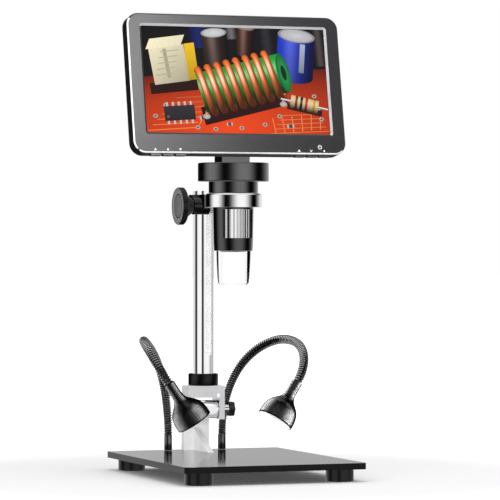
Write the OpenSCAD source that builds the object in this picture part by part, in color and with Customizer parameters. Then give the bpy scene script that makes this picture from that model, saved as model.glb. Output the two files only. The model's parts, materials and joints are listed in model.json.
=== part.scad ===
// Desk digital microscope: a camera head with its own screen rides on a toothed column,
// which tilts on a base plate between two lamps on goosenecks.
// Millimetres. +Z is up, +X is the user's right and +Y points to the back.
// The origin is on the desk, under the centre of the base plate and on the optical axis.

/* [Base plate] */
// Width of the plate, side to side
plate_w = 150; // [140:1:190]
// Depth of the plate, front to back
plate_d = 200; // [190:1:240]
// Thickness of the plate
plate_t = 5; // [4.5:0.1:8]
// Radius of the plate's corners in plan
plate_corner = 3; // [1:0.5:8]
// Distance from the column's axis to the plate's back edge
plate_behind = 27; // [26:0.5:34]

/* [Feet] */
// Diameter of a rubber foot
foot_d = 22; // [18:0.5:26]
// Height of a rubber foot
foot_h = 10; // [9:0.5:16]
// Distance from the plate's edges to a foot's centre
foot_inset = 16.5; // [14:0.5:20]
// Thread diameter of a foot's screw
foot_screw_d = 4; // [3:0.5:5]

/* [Pedestal] */
// Width of the pedestal's wall
pedestal_w = 22; // [21.5:0.5:30]
// Thickness of the pedestal's wall
pedestal_wall = 7.5; // [7:0.5:8]
// Gap between the wall's back and the plate's back edge
pedestal_setback = 3; // [1:0.5:6]
// Height of the tilt axis over the plate
pivot_rise = 34.6; // [33:0.1:44]
// Diameter of the tilt barrel
barrel_d = 15.8; // [13:0.2:17]
// Thickness of the arm between barrel and wall
pedestal_arm_t = 4.3; // [3:0.1:5]
// Thickness of the rib in front of the wall
rib_t = 5; // [2:0.5:6]
// Length of the rib along the plate
rib_reach = 36; // [20:1:40]
// Height of the rib at the wall
rib_h = 19; // [8:1:22]

/* [Yoke and column] */
// Distance from the column's axis to the optical axis
head_reach = 73; // [70:0.5:78]
// Thickness of a yoke leg
leg_t = 4.6; // [3.5:0.1:6]
// Gap between the yoke's legs
leg_gap = 22; // [21:0.5:24]
// Depth of the yoke, front to back
yoke_d = 18.8; // [18:0.2:22]
// Height of the yoke over the tilt axis
yoke_above = 19.7; // [19:0.1:26]
// Reach of the legs below the tilt axis
yoke_below = 8.1; // [5:0.1:12]
// Height of the yoke's full-depth bar
bar_h = 6; // [4:0.2:7]
// How far the web under the bar is set back
web_setback = 2.5; // [1:0.5:3]
// Diameter of the column
column_d = 17.4; // [17:0.1:18]
// Height of the column over the yoke
column_h = 160.3; // [158:0.5:190]
// Diameter of the collar at the column's foot
collar_d = 24.8; // [24:0.2:27]
// Height of the collar
collar_h = 10; // [7:0.5:14]

/* [Rack and pinion] */
// Tooth size: pitch diameter over number of teeth
gear_module = 0.6; // [0.5:0.05:0.7]
// Number of teeth on the pinion
pinion_teeth = 16; // [15:1:17]
// Width of the rack
rack_w = 4.6; // [4:0.2:5]
// Sideways place of the rack on the column
rack_x = 2; // [1.5:0.25:2.5]
// Thickness of the rack behind the tooth roots
rack_back = 1.6; // [1:0.1:2.5]

/* [Carriage] */
// Height of the carriage's underside over the desk
carriage_z = 215.4; // [212:0.2:216]
// Height of the carriage and of its ring
carriage_h = 11; // [10.6:0.2:11.4]
// Diameter of the boss that runs on the column
boss_d = 24; // [23:0.5:26]
// Width of the arm to the ring
arm_w = 15; // [13:0.5:18]
// Outside diameter of the ring
ring_d = 45.6; // [44:0.2:50]
// Diameter of the pinion shaft's bearing
bearing_d = 13.6; // [13.2:0.2:15]
// Height of the pinion's axis over the carriage's underside
pinion_rise = 1.5; // [1:0.1:2]

/* [Focus knob] */
// Diameter of the coarse focus knob
knob_d = 30.6; // [26:0.2:32]
// Width of the knob's rim
knob_rim = 5; // [4:0.2:8]
// Length of the knob's tapered hub
knob_hub = 7.5; // [5:0.5:8]
// Diameter of the pinion shaft
shaft_d = 5; // [4:0.5:5]

/* [Camera head] */
// Diameter of the disc under the screen
disc_d = 57; // [54:0.5:62]
// Height of the disc
disc_h = 14.9; // [13:0.1:18]
// Diameter of the neck that rests on the ring
neck_d = 39.6; // [38:0.2:42]
// Height of the neck
neck_h = 9.4; // [8:0.2:12]
// Diameter of the head's spigot in the ring
spigot_d = 32.8; // [32.4:0.1:33.2]
// Height of the barrel under the ring
barrel_h = 27; // [26.6:0.2:30]
// Diameter of the barrel under the ring
barrel_top_d = 32.6; // [32:0.1:32.8]
// Diameter of the barrel's lower end
barrel_low_d = 31.6; // [30.6:0.1:32]
// Height of the nose ring under the barrel
nose_h = 7.8; // [7.4:0.1:9]
// Height of the window in the barrel
window_h = 23; // [18:0.5:24]
// Width of the window as an angle
window_angle = 104; // [60:1:120]
// Turn of the window's middle from straight ahead
window_turn = 0; // [-30:1:30]
// Diameter of the fine focus ring
focus_ring_d = 28; // [27.6:0.1:28.4]
// Number of grips round the fine focus ring
focus_ring_grips = 30; // [20:1:40]
// Diameter of the clear tip at the nose
tip_top_d = 29.6; // [28.6:0.1:30]
// Diameter of the clear tip at its mouth
tip_low_d = 25.2; // [21:0.1:26]
// Height of the clear tip
tip_h = 27.9; // [22:0.1:32]
// Wall of the clear tip
tip_wall = 1.5; // [1:0.1:2]

/* [Screen] */
// Width of the screen's case
case_w = 180; // [176:1:200]
// Height of the screen's case
case_h = 114; // [112:1:124]
// Corner radius of the case
case_corner = 10; // [6:0.5:12]
// Depth of the front bezel
bezel_d = 7; // [6.8:0.1:9]
// Depth of the rear cover at its edge
cover_edge = 5; // [4:0.2:7]
// Depth of the rear cover's raised middle
cover_bulge = 8; // [7.6:0.1:11]
// Wall of the screen's case
case_wall = 2; // [1.6:0.1:2.4]
// Width of the picture
picture_w = 155.6; // [150:0.2:158]
// Height of the picture
picture_h = 87; // [84:0.2:90]
// Height of the picture's centre over the case's centre
picture_lift = 3.4; // [2:0.1:4]
// Lean of the screen, back from upright
screen_lean = 10.9; // [5:0.1:20]
// Depth of the case's front face ahead of the hinge
screen_forward = 21.9; // [21.6:0.1:23]
// Drop of the case's lower edge below the hinge
screen_drop = 9.5; // [8:0.1:10]
// Height of the hinge's axis over the disc
hinge_rise = 12.1; // [12:0.1:15]
// Place of the hinge's axis behind the optical axis
hinge_y = 3; // [2.5:0.5:4]
// Width of the hinge block
block_w = 23.6; // [22:0.2:28]
// Width of the lug between the block's ears
lug_w = 12; // [10:0.5:13]
// Diameter of the hinge pin
hinge_pin_d = 4; // [3:0.5:5]

/* [Buttons] */
// Width of a button
button_w = 8.2; // [6:0.1:8.8]
// Distance between the buttons of a group
button_pitch = 10.4; // [10.2:0.1:12]
// Distance of a group's middle button from the case's side
button_group_inset = 29; // [26:0.5:36]
// How far a button stands out of the case
button_proud = 1.5; // [1.2:0.1:3]
// Travel of a button
button_travel = 0.8; // [0.3:0.1:1]

/* [Lamps] */
// Sideways place of a gooseneck's foot
neck_foot_x = 23.6; // [22:0.2:30]
// Distance from a gooseneck's foot to the plate's back edge
neck_foot_inset = 6.5; // [6:0.5:14]
// Outside diameter of a gooseneck
gooseneck_d = 7.6; // [6:0.2:8]
// Sideways place of a gooseneck's crown
crown_x = 60.8; // [58:0.2:66]
// Front-to-back place of a gooseneck's crown
crown_y = 45.4; // [40:0.2:52]
// Height of a gooseneck's crown over the plate
crown_rise = 92.5; // [88:0.5:110]
// Sideways place of a lamp's swivel
swivel_x = 54.8; // [50:0.2:58]
// Front-to-back place of a lamp's swivel
swivel_y = -1.2; // [-5:0.2:6]
// Height of a lamp's swivel over the plate
swivel_rise = 59.8; // [56:0.2:70]
// Lean of a lamp from hanging straight down
lamp_lean = 33.5; // [25:0.5:38]
// Lean of a lamp towards the user
lamp_forward = 3.4; // [0:0.2:10]
// Length of a lamp from swivel to rim
lamp_length = 37.4; // [34:0.1:39]
// Diameter of a lamp's rim
lamp_d = 29.4; // [27:0.2:31]
// Wall of a lamp's shell
lamp_wall = 1.5; // [1.2:0.1:2]

/* [Hidden] */
$fn = 64;

// Clearances
run_gap = 0.05;   // radial, shafts and slides
screw_gap = 0.05; // radial, screws in their holes
seat_gap = 0.1;   // pieces of one assembly laid side by side
free_gap = 0.3;   // pieces that move past each other
ball_gap = 0.15;  // radial, a gooseneck's balls in their sockets

// Base
plate_top = foot_h + plate_t;
plate_back = head_reach + plate_behind;
plate_mid = plate_back - plate_d / 2;
foot_x = plate_w / 2 - foot_inset;
foot_y = plate_d / 2 - foot_inset;
foot_places = [for (sx = [-1, 1]) for (sy = [-1, 1]) [sx * foot_x, plate_mid + sy * foot_y]];
foot_head_d = foot_screw_d * 2;
foot_head_h = 2.6;
foot_recess = 5;        // depth of the recess for the screw's head
foot_thread = plate_t - 1;  // blind thread in the plate

// Pedestal and yoke
pivot_z = plate_top + pivot_rise;
wall_back = plate_back - pedestal_setback;
wall_front = wall_back - pedestal_wall;
barrel_w = leg_gap - 2 * free_gap;
tilt_screw_d = 5;
pedestal_screw_d = 4;
pedestal_screw_x = 6.5;
pedestal_screw_head_d = 7;
pedestal_screw_head_h = 2.4;
pedestal_thread = 10;
yoke_w = leg_gap + 2 * leg_t;
yoke_top = pivot_z + yoke_above;
yoke_web_low = pivot_z + barrel_d / 2 + 1.8;
tilt_spacer = 5.9;     // plain length of the screw between leg and knob
tilt_knob_d = 12.6;
tilt_knob_t = 4.8;
tilt_screw_grip = 3.5; // length of the screw in the knob

// Column
column_y = head_reach;
column_seat = 5;       // depth of the column's seat in the yoke
column_low = yoke_top - column_seat;
column_top = yoke_top + column_h;
column_bolt_d = 6;
column_bolt_head_d = 10;
column_bolt_head_h = 2.4;
column_bolt_reach = 12;

// Rack and pinion
pressure_angle = 20;
tooth_pitch = PI * gear_module;
addendum = gear_module;
dedendum = 1.25 * gear_module;
backlash = 0.1;
pinion_pitch_r = gear_module * pinion_teeth / 2;
pinion_base_r = pinion_pitch_r * cos(pressure_angle);
pinion_tip_r = pinion_pitch_r + addendum;
pinion_root_r = pinion_pitch_r - dedendum;
rack_tip_y = column_d / 2 - 0.4;          // depth of the tooth tips from the column's axis
rack_pitch_y = rack_tip_y - addendum;
rack_root_y = rack_pitch_y - dedendum;
rack_back_y = rack_root_y - rack_back;
pinion_y = column_y - rack_pitch_y - pinion_pitch_r;
pinion_z = carriage_z + pinion_rise;
pinion_w = rack_w - 2 * free_gap;
carriage_travel = 110;
rack_ends = 5;                             // teeth past each end of the travel
teeth_below = ceil(carriage_travel / tooth_pitch) + rack_ends;
teeth_above = floor((column_top - pinion_z - 2) / tooth_pitch);

// Carriage
carriage_top = carriage_z + carriage_h;
bearing_right = rack_x - pinion_w / 2 - free_gap;
shaft_right = rack_x + pinion_w / 2 + 1.5;
knob_right = -14.2;                        // where the knob's hub ends
bearing_left = knob_right + free_gap;
knob_face_x = knob_right - knob_hub - knob_rim;
ring_bore_d = spigot_d + 2 * run_gap;
ring_screw_d = 3;
ring_screw_x = 4;
ring_pad_y = ring_d / 2 - 3;               // flat where the arm meets the ring
arm_screw_depth = 8;

// Head
neck_low = carriage_top + free_gap;
disc_low = neck_low + neck_h;
disc_top = disc_low + disc_h;
barrel_top = carriage_z - 0.1;             // lower end of the spigot
barrel_low = barrel_top - barrel_h;
nose_low = barrel_low - nose_h;
tip_low = nose_low - tip_h;
spigot_top = disc_low - 1.5;
housing_wall = 2.5;
lid_t = 2.5;
lid_d = disc_d - 2 * housing_wall;
sleeve_bore = focus_ring_d + 2 * run_gap;
nose_bore = 25;
nose_lip = 1.4;
focus_ring_low = barrel_low + nose_lip + free_gap;
focus_ring_top = barrel_top + 1.5;
lens_tube_d = 22;
lens_tube_h = 16;
lens_tube_low = focus_ring_low + 4;
lens_d = 15;
lens_shelf = 1.6;          // under the front lens
front_lens_t = 4;
rear_lens_t = 6;
board_shelf_z = focus_ring_top + 4;
board_d = 27.4;
window_top = barrel_top - 1.6;
window_low = window_top - window_h;
tip_plug_h = 5.6;
led_count = 8;

// Screen: this frame has its origin on the hinge's axis, +Y towards the back of the case
hinge_z = disc_top + hinge_rise;
case_front = -screen_forward;
case_low = -screen_drop;
case_mid = case_low + case_h / 2;
picture_mid = case_mid + picture_lift;
parting = case_front + bezel_d;
cover_back = parting + cover_edge;
bulge_back = cover_back + cover_bulge;
bulge_w = 124;
bulge_low = 14;
bulge_high = 92;
bulge_corner = 8;
ear_r = 8;
ear_t = (block_w - lug_w - 2 * free_gap) / 2;
lug_r = 6;
block_front = hinge_y - 9.3;
block_back = hinge_y + 8.9;
block_body_top = disc_top + hinge_rise - lug_r - 0.5;
block_screw_d = 3;
block_screw_x = 7.5;
panel_room = 1.6;                           // between the panel and the case's upper wall
panel_h = case_h - 2 * (case_wall + picture_lift + panel_room);
panel_t = 3.5;
panel_y = case_front + case_wall + seat_gap;
board_w = 56;
board_h = 60;
board_t = 1.6;
board_x = -31;
board_mid = 53;
board_y = parting + 4.5;
post_d = 5;
battery_w = 52;
battery_h = 52;
battery_t = 6.5;
battery_x = 32;
socket_w = 8;
socket_t = 3;
socket_l = 6;
socket_y = board_y + board_t;
socket_z = board_mid - 12;
case_screw_d = 2.5;
case_screw_grip = 4;                        // depth of a screw's end in the bezel
case_screw_post_d = 5.2;
case_screw_inset = 16;                      // from the case's upper and lower edges
case_screw_x = case_w / 2 - case_wall - case_screw_post_d / 2 + 0.6;
case_screw_places = [for (side = [-1, 1]) for (end = [-1, 1])
    [side * case_screw_x, case_mid + end * (case_h / 2 - case_screw_inset)]];
panel_w = 2 * (case_screw_x - case_screw_post_d / 2 - free_gap);
button_d = 4.2;                            // depth of a button, front to back
button_y = case_front + case_wall + free_gap + button_d / 2;
button_flange = 0.6;                       // how far the flange reaches past the slot on each side
button_flange_t = 1;
switch_h = 1;
button_group_x = case_w / 2 - button_group_inset;
button_x = [for (side = [-1, 1]) for (k = [-1, 0, 1]) side * button_group_x + k * button_pitch];

// Lamps: a gooseneck is two curves, from the plate to the crown and on to the swivel
neck_foot_y = plate_back - neck_foot_inset;
ferrule_h = 12.5;
ferrule_d = gooseneck_d - 1;
stem_d = ferrule_d - 2;                // the stem through the plate, between ferrule and nut
neck_hole_d = stem_d + 2 * free_gap;
nut_d = ferrule_d + 4;
nut_h = 3;
crown = [crown_x, crown_y, plate_top + crown_rise];
crown_dir = [0.324, -0.946, 0];
swivel = [swivel_x, swivel_y, plate_top + swivel_rise];
lamp_dir = [-sin(lamp_lean) * cos(lamp_forward), -sin(lamp_forward), -cos(lamp_lean) * cos(lamp_forward)];
lower_route = [
    [neck_foot_x, neck_foot_y, plate_top + ferrule_h],
    [neck_foot_x, neck_foot_y, plate_top + 0.81 * crown_rise],
    crown - 22 * crown_dir,
    crown
];
upper_route = [crown, crown + 33 * crown_dir, swivel - 14 * lamp_dir, swivel];
route_steps = 24;
neck_sides = 12;
ball_d = gooseneck_d + 0.2;             // ball at a gooseneck's crown and at a lamp's swivel
socket_d = ball_d + 2 * ball_gap;
lamp_recess = 3.4;     // depth of the diffuser behind the rim
diffuser_t = 1.2;
led_board_t = 1.6;

// A flat plate with round corners, centred in X and Y, standing on z = 0
module round_plate(w, d, r, t) {
    linear_extrude(t) {
        square([w - 2 * r, d], center = true);
        square([w, d - 2 * r], center = true);
        for (sx = [-1, 1]) for (sy = [-1, 1])
            translate([sx * (w / 2 - r), sy * (d / 2 - r)]) circle(r);
    }
}

// A round tube standing on z = 0
module tube(outer_d, inner_d, h) {
    difference() {
        cylinder(d = outer_d, h = h);
        translate([0, 0, -1]) cylinder(d = inner_d, h = h + 2);
    }
}

// A screw pointing up: its head stands on z = 0
module screw_up(d, length, head_d, head_h) {
    difference() {
        union() {
            cylinder(d = head_d, h = head_h);
            cylinder(d = d, h = head_h + length);
        }
        translate([0, 0, -1]) cylinder(d = d, h = 1 + head_h / 2, $fn = 6);
    }
}

// A cylinder along X from x0 to x1
module rod_x(d, x0, x1) {
    translate([x0, 0, 0]) rotate([0, 90, 0]) cylinder(d = d, h = x1 - x0);
}

module base_plate() {
    color("dimgray") difference() {
        translate([0, plate_mid, foot_h]) round_plate(plate_w, plate_d, plate_corner, plate_t);
        for (p = foot_places)
            translate([p[0], p[1], foot_h - 1])
                cylinder(d = foot_screw_d + 2 * screw_gap, h = 1 + foot_thread);
        for (side = [-1, 1]) {
            translate([side * pedestal_screw_x, (wall_front + wall_back) / 2, foot_h - 1]) {
                cylinder(d = pedestal_screw_d + 2 * screw_gap, h = plate_t + 2);
                cylinder(d = pedestal_screw_head_d + 2 * seat_gap, h = 1 + pedestal_screw_head_h);
            }
            translate([side * neck_foot_x, neck_foot_y, foot_h - 1])
                cylinder(d = neck_hole_d, h = plate_t + 2);
        }
    }
}

module feet() {
    color([0.06, 0.06, 0.06]) for (p = foot_places) translate([p[0], p[1], 0]) difference() {
        cylinder(d = foot_d, h = foot_h);
        translate([0, 0, -1]) cylinder(d = foot_head_d + 1, h = 1 + foot_recess);
        cylinder(d = foot_screw_d + 2 * screw_gap, h = foot_h + 1);
    }
}

module foot_screws() {
    color("silver") for (p = foot_places)
        translate([p[0], p[1], foot_recess - foot_head_h])
            screw_up(foot_screw_d, foot_h - foot_recess + foot_thread - 0.4, foot_head_d, foot_head_h);
}

module pedestal() {
    color("gainsboro") difference() {
        union() {
            translate([-pedestal_w / 2, wall_front, plate_top])
                cube([pedestal_w, pedestal_wall, pivot_z - barrel_d / 2 + pedestal_arm_t - plate_top]);
            translate([-barrel_w / 2, column_y, pivot_z - barrel_d / 2])
                cube([barrel_w, wall_front - column_y + 1, pedestal_arm_t]);
            translate([0, column_y, pivot_z]) rod_x(barrel_d, -barrel_w / 2, barrel_w / 2);
            translate([rib_t / 2, wall_front + 0.5, plate_top]) rotate([0, -90, 0])
                linear_extrude(rib_t) polygon([[0, 0], [rib_h, 0], [0, -rib_reach]]);
        }
        translate([0, column_y, pivot_z])
            rod_x(tilt_screw_d + 2 * run_gap, -barrel_w / 2 - 1, barrel_w / 2 + 1);
        for (side = [-1, 1])
            translate([side * pedestal_screw_x, (wall_front + wall_back) / 2, plate_top - 1])
                cylinder(d = pedestal_screw_d + 2 * screw_gap, h = 1 + pedestal_thread);
    }
}

module pedestal_screws() {
    color("silver") for (side = [-1, 1])
        translate([side * pedestal_screw_x, (wall_front + wall_back) / 2, foot_h])
            screw_up(pedestal_screw_d, plate_t - pedestal_screw_head_h + pedestal_thread - 0.4,
                     pedestal_screw_head_d, pedestal_screw_head_h);
}

// The boss under the plate where the lamps' lead goes in
module lamp_gland() {
    gland_w = 12;
    gland_h = 6;
    gland_d = 14;
    bore_d = 3.6;
    color([0.1, 0.1, 0.1]) translate([0, plate_back - gland_d - 1, foot_h - gland_h]) difference() {
        union() {
            translate([-gland_w / 2, 0, 0]) cube([gland_w, gland_d, gland_h]);
            for (side = [-1, 1])
                translate([side * (gland_w / 2 + 3), gland_d / 2 - 3, gland_h - 2])
                    cylinder(d = 8, h = 2);
        }
        translate([0, 3, gland_h / 2]) rotate([-90, 0, 0]) cylinder(d = bore_d, h = gland_d);
    }
}

module tilt_screw() {
    color("silver") translate([0, column_y, pivot_z]) {
        rod_x(tilt_screw_d, -yoke_w / 2 - 2.4, yoke_w / 2 + tilt_spacer + tilt_screw_grip);
        rod_x(tilt_screw_d + 3, -yoke_w / 2 - 2.4, -yoke_w / 2 - seat_gap);
        rod_x(tilt_screw_d + 2, yoke_w / 2 + seat_gap, yoke_w / 2 + tilt_spacer);
    }
}

module tilt_knob() {
    lobes = 6;
    color([0.07, 0.07, 0.07]) translate([yoke_w / 2 + tilt_spacer, column_y, pivot_z])
        rotate([0, 90, 0]) difference() {
            cylinder(d = tilt_knob_d, h = tilt_knob_t);
            for (k = [0 : lobes - 1]) rotate([0, 0, k * 360 / lobes])
                translate([tilt_knob_d / 2 + 1.5, 0, -1]) cylinder(d = 5, h = tilt_knob_t + 2);
            translate([0, 0, -1])
                cylinder(d = tilt_screw_d + 2 * screw_gap, h = 1 + tilt_screw_grip + seat_gap);
        }
}

module yoke() {
    web_low = yoke_web_low - pivot_z;
    color("gainsboro") translate([0, column_y, pivot_z]) difference() {
        translate([-yoke_w / 2, -yoke_d / 2, -yoke_below]) cube([yoke_w, yoke_d, yoke_above + yoke_below]);
        translate([-leg_gap / 2, -yoke_d / 2 - 1, -yoke_below - 1])
            cube([leg_gap, yoke_d + 2, yoke_below + 1 + web_low]);
        translate([-leg_gap / 2, -yoke_d / 2 - 1, web_low - 1])
            cube([leg_gap, 1 + web_setback, yoke_above - bar_h - web_low + 1]);
        rod_x(tilt_screw_d + 2 * run_gap, -yoke_w / 2 - 1, yoke_w / 2 + 1);
        translate([0, 0, yoke_above - column_seat])
            cylinder(d = column_d + 2 * screw_gap, h = column_seat + 1);
        translate([0, 0, web_low - 1]) cylinder(d = column_bolt_d + 2 * screw_gap, h = yoke_above);
        translate([0, 0, web_low - 1])
            cylinder(d = column_bolt_head_d + 2 * seat_gap, h = 1 + column_bolt_head_h);
    }
}

module collar() {
    color([0.05, 0.05, 0.05]) translate([0, column_y, yoke_top])
        tube(collar_d, column_d + 2 * screw_gap, collar_h);
}

module column() {
    slot_low = pinion_z - (teeth_below + 1) * tooth_pitch;
    color("whitesmoke") difference() {
        translate([0, column_y, column_low]) cylinder(d = column_d, h = column_top - column_low);
        translate([rack_x - rack_w / 2 - seat_gap, column_y - column_d / 2 - 1, slot_low])
            cube([rack_w + 2 * seat_gap, column_d / 2 + 1 - rack_back_y, column_top]);
        translate([0, column_y, column_low - 1])
            cylinder(d = column_bolt_d + 2 * screw_gap, h = 1 + column_bolt_reach);
    }
}

// Tooth gaps lie whole pitches from the pinion's axis, so the two are in mesh
module rack() {
    tip_half = tooth_pitch / 4 - backlash / 2 - addendum * tan(pressure_angle);
    root_half = tooth_pitch / 4 - backlash / 2 + dedendum * tan(pressure_angle);
    rack_low = pinion_z - teeth_below * tooth_pitch;
    rack_high = pinion_z + teeth_above * tooth_pitch;
    teeth = [for (k = [-teeth_below : teeth_above - 1]) pinion_z + (k + 0.5) * tooth_pitch];
    outline = concat(
        [[rack_back_y, rack_high], [rack_back_y, rack_low], [rack_root_y, rack_low]],
        [for (z = teeth) each [
            [rack_root_y, z - root_half], [rack_tip_y, z - tip_half],
            [rack_tip_y, z + tip_half], [rack_root_y, z + root_half]
        ]],
        [[rack_root_y, rack_high]]
    );
    color("silver") translate([rack_x - rack_w / 2, column_y, 0]) rotate([90, 0, 90])
        linear_extrude(rack_w) polygon([for (p = outline) [-p[0], p[1]]]);
}

module column_bolt() {
    color("silver") translate([0, column_y, yoke_web_low])
        screw_up(column_bolt_d, column_low - yoke_web_low - column_bolt_head_h + column_bolt_reach - 0.5,
                 column_bolt_head_d, column_bolt_head_h);
}

module carriage() {
    reach = column_y - ring_pad_y;
    color([0.06, 0.06, 0.06]) difference() {
        union() {
            translate([0, column_y, carriage_z]) cylinder(d = boss_d, h = carriage_h);
            translate([-arm_w / 2, ring_pad_y, carriage_z]) cube([arm_w, reach, carriage_h]);
            translate([0, pinion_y, pinion_z]) rod_x(bearing_d, bearing_left, bearing_right);
        }
        translate([0, column_y, carriage_z - bearing_d])
            cylinder(d = column_d + 2 * run_gap, h = carriage_h + 2 * bearing_d);
        translate([rack_x - rack_w / 2 - free_gap, column_y - rack_tip_y - free_gap, carriage_z - bearing_d])
            cube([rack_w + 2 * free_gap, rack_tip_y, carriage_h + 2 * bearing_d]);
        translate([0, 0, carriage_z - 1]) cylinder(d = ring_d, h = carriage_h + 2);
        translate([0, pinion_y, pinion_z])
            rod_x(shaft_d + 2 * run_gap, bearing_left - 1, shaft_right + free_gap);
        translate([0, pinion_y, pinion_z])
            rod_x(2 * (pinion_tip_r + free_gap), bearing_right, bearing_right + pinion_w + 2 * free_gap);
        for (side = [-1, 1])
            translate([side * ring_screw_x, ring_pad_y - 1, carriage_z + carriage_h / 2])
                rotate([-90, 0, 0])
                    cylinder(d = ring_screw_d + 2 * screw_gap, h = 1 + arm_screw_depth);
    }
}

module head_ring() {
    bevel = 1.2;
    color("whitesmoke") translate([0, 0, carriage_z]) difference() {
        rotate_extrude() polygon([
            [ring_bore_d / 2, 0], [ring_d / 2, 0],
            [ring_d / 2, carriage_h - bevel], [ring_d / 2 - bevel, carriage_h],
            [ring_bore_d / 2, carriage_h]
        ]);
        for (side = [-1, 1])
            translate([side * ring_screw_x, 0, carriage_h / 2]) rotate([-90, 0, 0]) {
                cylinder(d = ring_screw_d + 2 * screw_gap, h = ring_d);
                cylinder(d = 5.6, h = ring_bore_d / 2 + 1.9);
            }
    }
}

module ring_screws() {
    head_h = 1.6;
    head_y = ring_bore_d / 2 + 0.3;
    color("silver") for (side = [-1, 1])
        translate([side * ring_screw_x, head_y, carriage_z + carriage_h / 2]) rotate([-90, 0, 0])
            screw_up(ring_screw_d, ring_pad_y + arm_screw_depth - 0.5 - head_y - head_h, 5.4, head_h);
}

module focus_knob() {
    ribs = 60;
    hub_wide = 23;
    hub_slim = 11;
    dish = 1.2;
    color([0.05, 0.05, 0.05]) translate([knob_face_x, pinion_y, pinion_z]) rotate([0, 90, 0]) difference() {
        rotate_extrude() polygon([
            [0, dish], [knob_d / 2 - 1, dish], [knob_d / 2 - 1, 0], [knob_d / 2 - 0.4, 0],
            [knob_d / 2, 0.4], [knob_d / 2, knob_rim - 0.6], [knob_d / 2 - 0.6, knob_rim],
            [hub_wide / 2, knob_rim], [hub_slim / 2, knob_rim + knob_hub], [0, knob_rim + knob_hub]
        ]);
        for (k = [0 : ribs - 1]) rotate([0, 0, k * 360 / ribs])
            translate([knob_d / 2 + 0.25, 0, 0.8]) cylinder(d = 0.9, h = knob_rim, $fn = 6);
        translate([0, 0, 4]) cylinder(d = shaft_d + 2 * screw_gap, h = knob_rim + knob_hub);
    }
}

module knob_face() {
    groove_d = 19.7;
    color("gray") translate([knob_face_x + 0.2, pinion_y, pinion_z]) rotate([0, 90, 0]) difference() {
        cylinder(d = knob_d - 2 - 2 * seat_gap, h = 1);
        translate([0, 0, -1]) tube(groove_d, groove_d - 1, 1.4);
    }
}

module focus_shaft() {
    color("silver") translate([0, pinion_y, pinion_z])
        rod_x(shaft_d, knob_face_x + 4.2, shaft_right);
}

// Angle between the radius and the start of an involute flank, at radius r
function involute(r) = let (t = sqrt(pow(r / pinion_base_r, 2) - 1)) t * 180 / PI - atan(t);
function tooth_half(r) = 90 / pinion_teeth - backlash / 2 / pinion_pitch_r * 180 / PI
                         + involute(pinion_pitch_r) - involute(r);
function polar(r, a) = [r * cos(a), r * sin(a)];

module pinion() {
    flank_r = [for (k = [0 : 4]) pinion_base_r + (pinion_tip_r - pinion_base_r) * k / 4];
    step = 360 / pinion_teeth;
    outline = [for (k = [0 : pinion_teeth - 1]) each concat(
        [polar(pinion_root_r, k * step - tooth_half(pinion_base_r))],
        [for (r = flank_r) polar(r, k * step - tooth_half(r))],
        [for (j = [4 : -1 : 0]) polar(flank_r[j], k * step + tooth_half(flank_r[j]))],
        [polar(pinion_root_r, k * step + tooth_half(pinion_base_r))]
    )];
    color("silver") translate([rack_x - pinion_w / 2, pinion_y, pinion_z]) rotate([90, 0, 90])
        difference() {
            linear_extrude(pinion_w) polygon(outline);
            translate([0, 0, -1]) cylinder(d = shaft_d + 2 * screw_gap, h = pinion_w + 2);
        }
}

module head_housing() {
    inner_d = lid_d - 2;
    color([0.08, 0.08, 0.08]) difference() {
        rotate_extrude() polygon([
            [spigot_d / 2 + screw_gap, neck_low], [neck_d / 2, neck_low], [neck_d / 2, disc_low],
            [disc_d / 2 - 0.5, disc_low], [disc_d / 2, disc_low + 0.5],
            [disc_d / 2, disc_top - 0.5], [disc_d / 2 - 0.5, disc_top],
            [lid_d / 2, disc_top], [lid_d / 2, disc_top - lid_t],
            [inner_d / 2, disc_top - lid_t], [inner_d / 2, disc_low + housing_wall],
            [12, disc_low + housing_wall], [12, spigot_top + seat_gap],
            [spigot_d / 2 + screw_gap, spigot_top + seat_gap]
        ]);
    }
}

module head_lid() {
    color([0.09, 0.09, 0.09]) translate([0, 0, disc_top - lid_t]) difference() {
        cylinder(d = lid_d - 2 * seat_gap, h = lid_t);
        for (side = [-1, 1]) translate([side * block_screw_x, hinge_y, -1])
            cylinder(d = block_screw_d + 2 * screw_gap, h = lid_t + 2);
        translate([0, hinge_y, -1]) cylinder(d = 5, h = lid_t + 2);
    }
}

module barrel() {
    color([0.07, 0.07, 0.07]) difference() {
        rotate_extrude() polygon([
            [sleeve_bore / 2, barrel_low], [barrel_low_d / 2, barrel_low],
            [barrel_top_d / 2, barrel_top], [spigot_d / 2, barrel_top], [spigot_d / 2, spigot_top],
            [board_d / 2 + seat_gap, spigot_top], [board_d / 2 + seat_gap, board_shelf_z],
            [board_d / 2 - 1.5, board_shelf_z], [board_d / 2 - 1.5, focus_ring_top + free_gap],
            [sleeve_bore / 2, focus_ring_top + free_gap]
        ]);
        translate([0, 0, window_low])
            rotate([0, 0, window_turn - 90 - window_angle / 2])
                rotate_extrude(angle = window_angle)
                    translate([sleeve_bore / 2 - 0.5, 0]) square([4, window_h]);
    }
}

module nose_ring() {
    color([0.06, 0.06, 0.06]) rotate_extrude() polygon([
        [nose_bore / 2, nose_low], [barrel_low_d / 2 - 0.3, nose_low],
        [barrel_low_d / 2, barrel_low], [sleeve_bore / 2 - screw_gap, barrel_low],
        [sleeve_bore / 2 - screw_gap, barrel_low + nose_lip], [nose_bore / 2, barrel_low + nose_lip]
    ]);
}

module sensor_board() {
    chip = 8;
    color("darkgreen") translate([0, 0, board_shelf_z]) cylinder(d = board_d, h = board_t);
    color("black") translate([-chip / 2, -chip / 2, board_shelf_z - 1.2]) cube([chip, chip, 1.2]);
    color("ivory") translate([-6, 6, board_shelf_z + board_t]) cube([12, 4, 2]);
}

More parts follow.
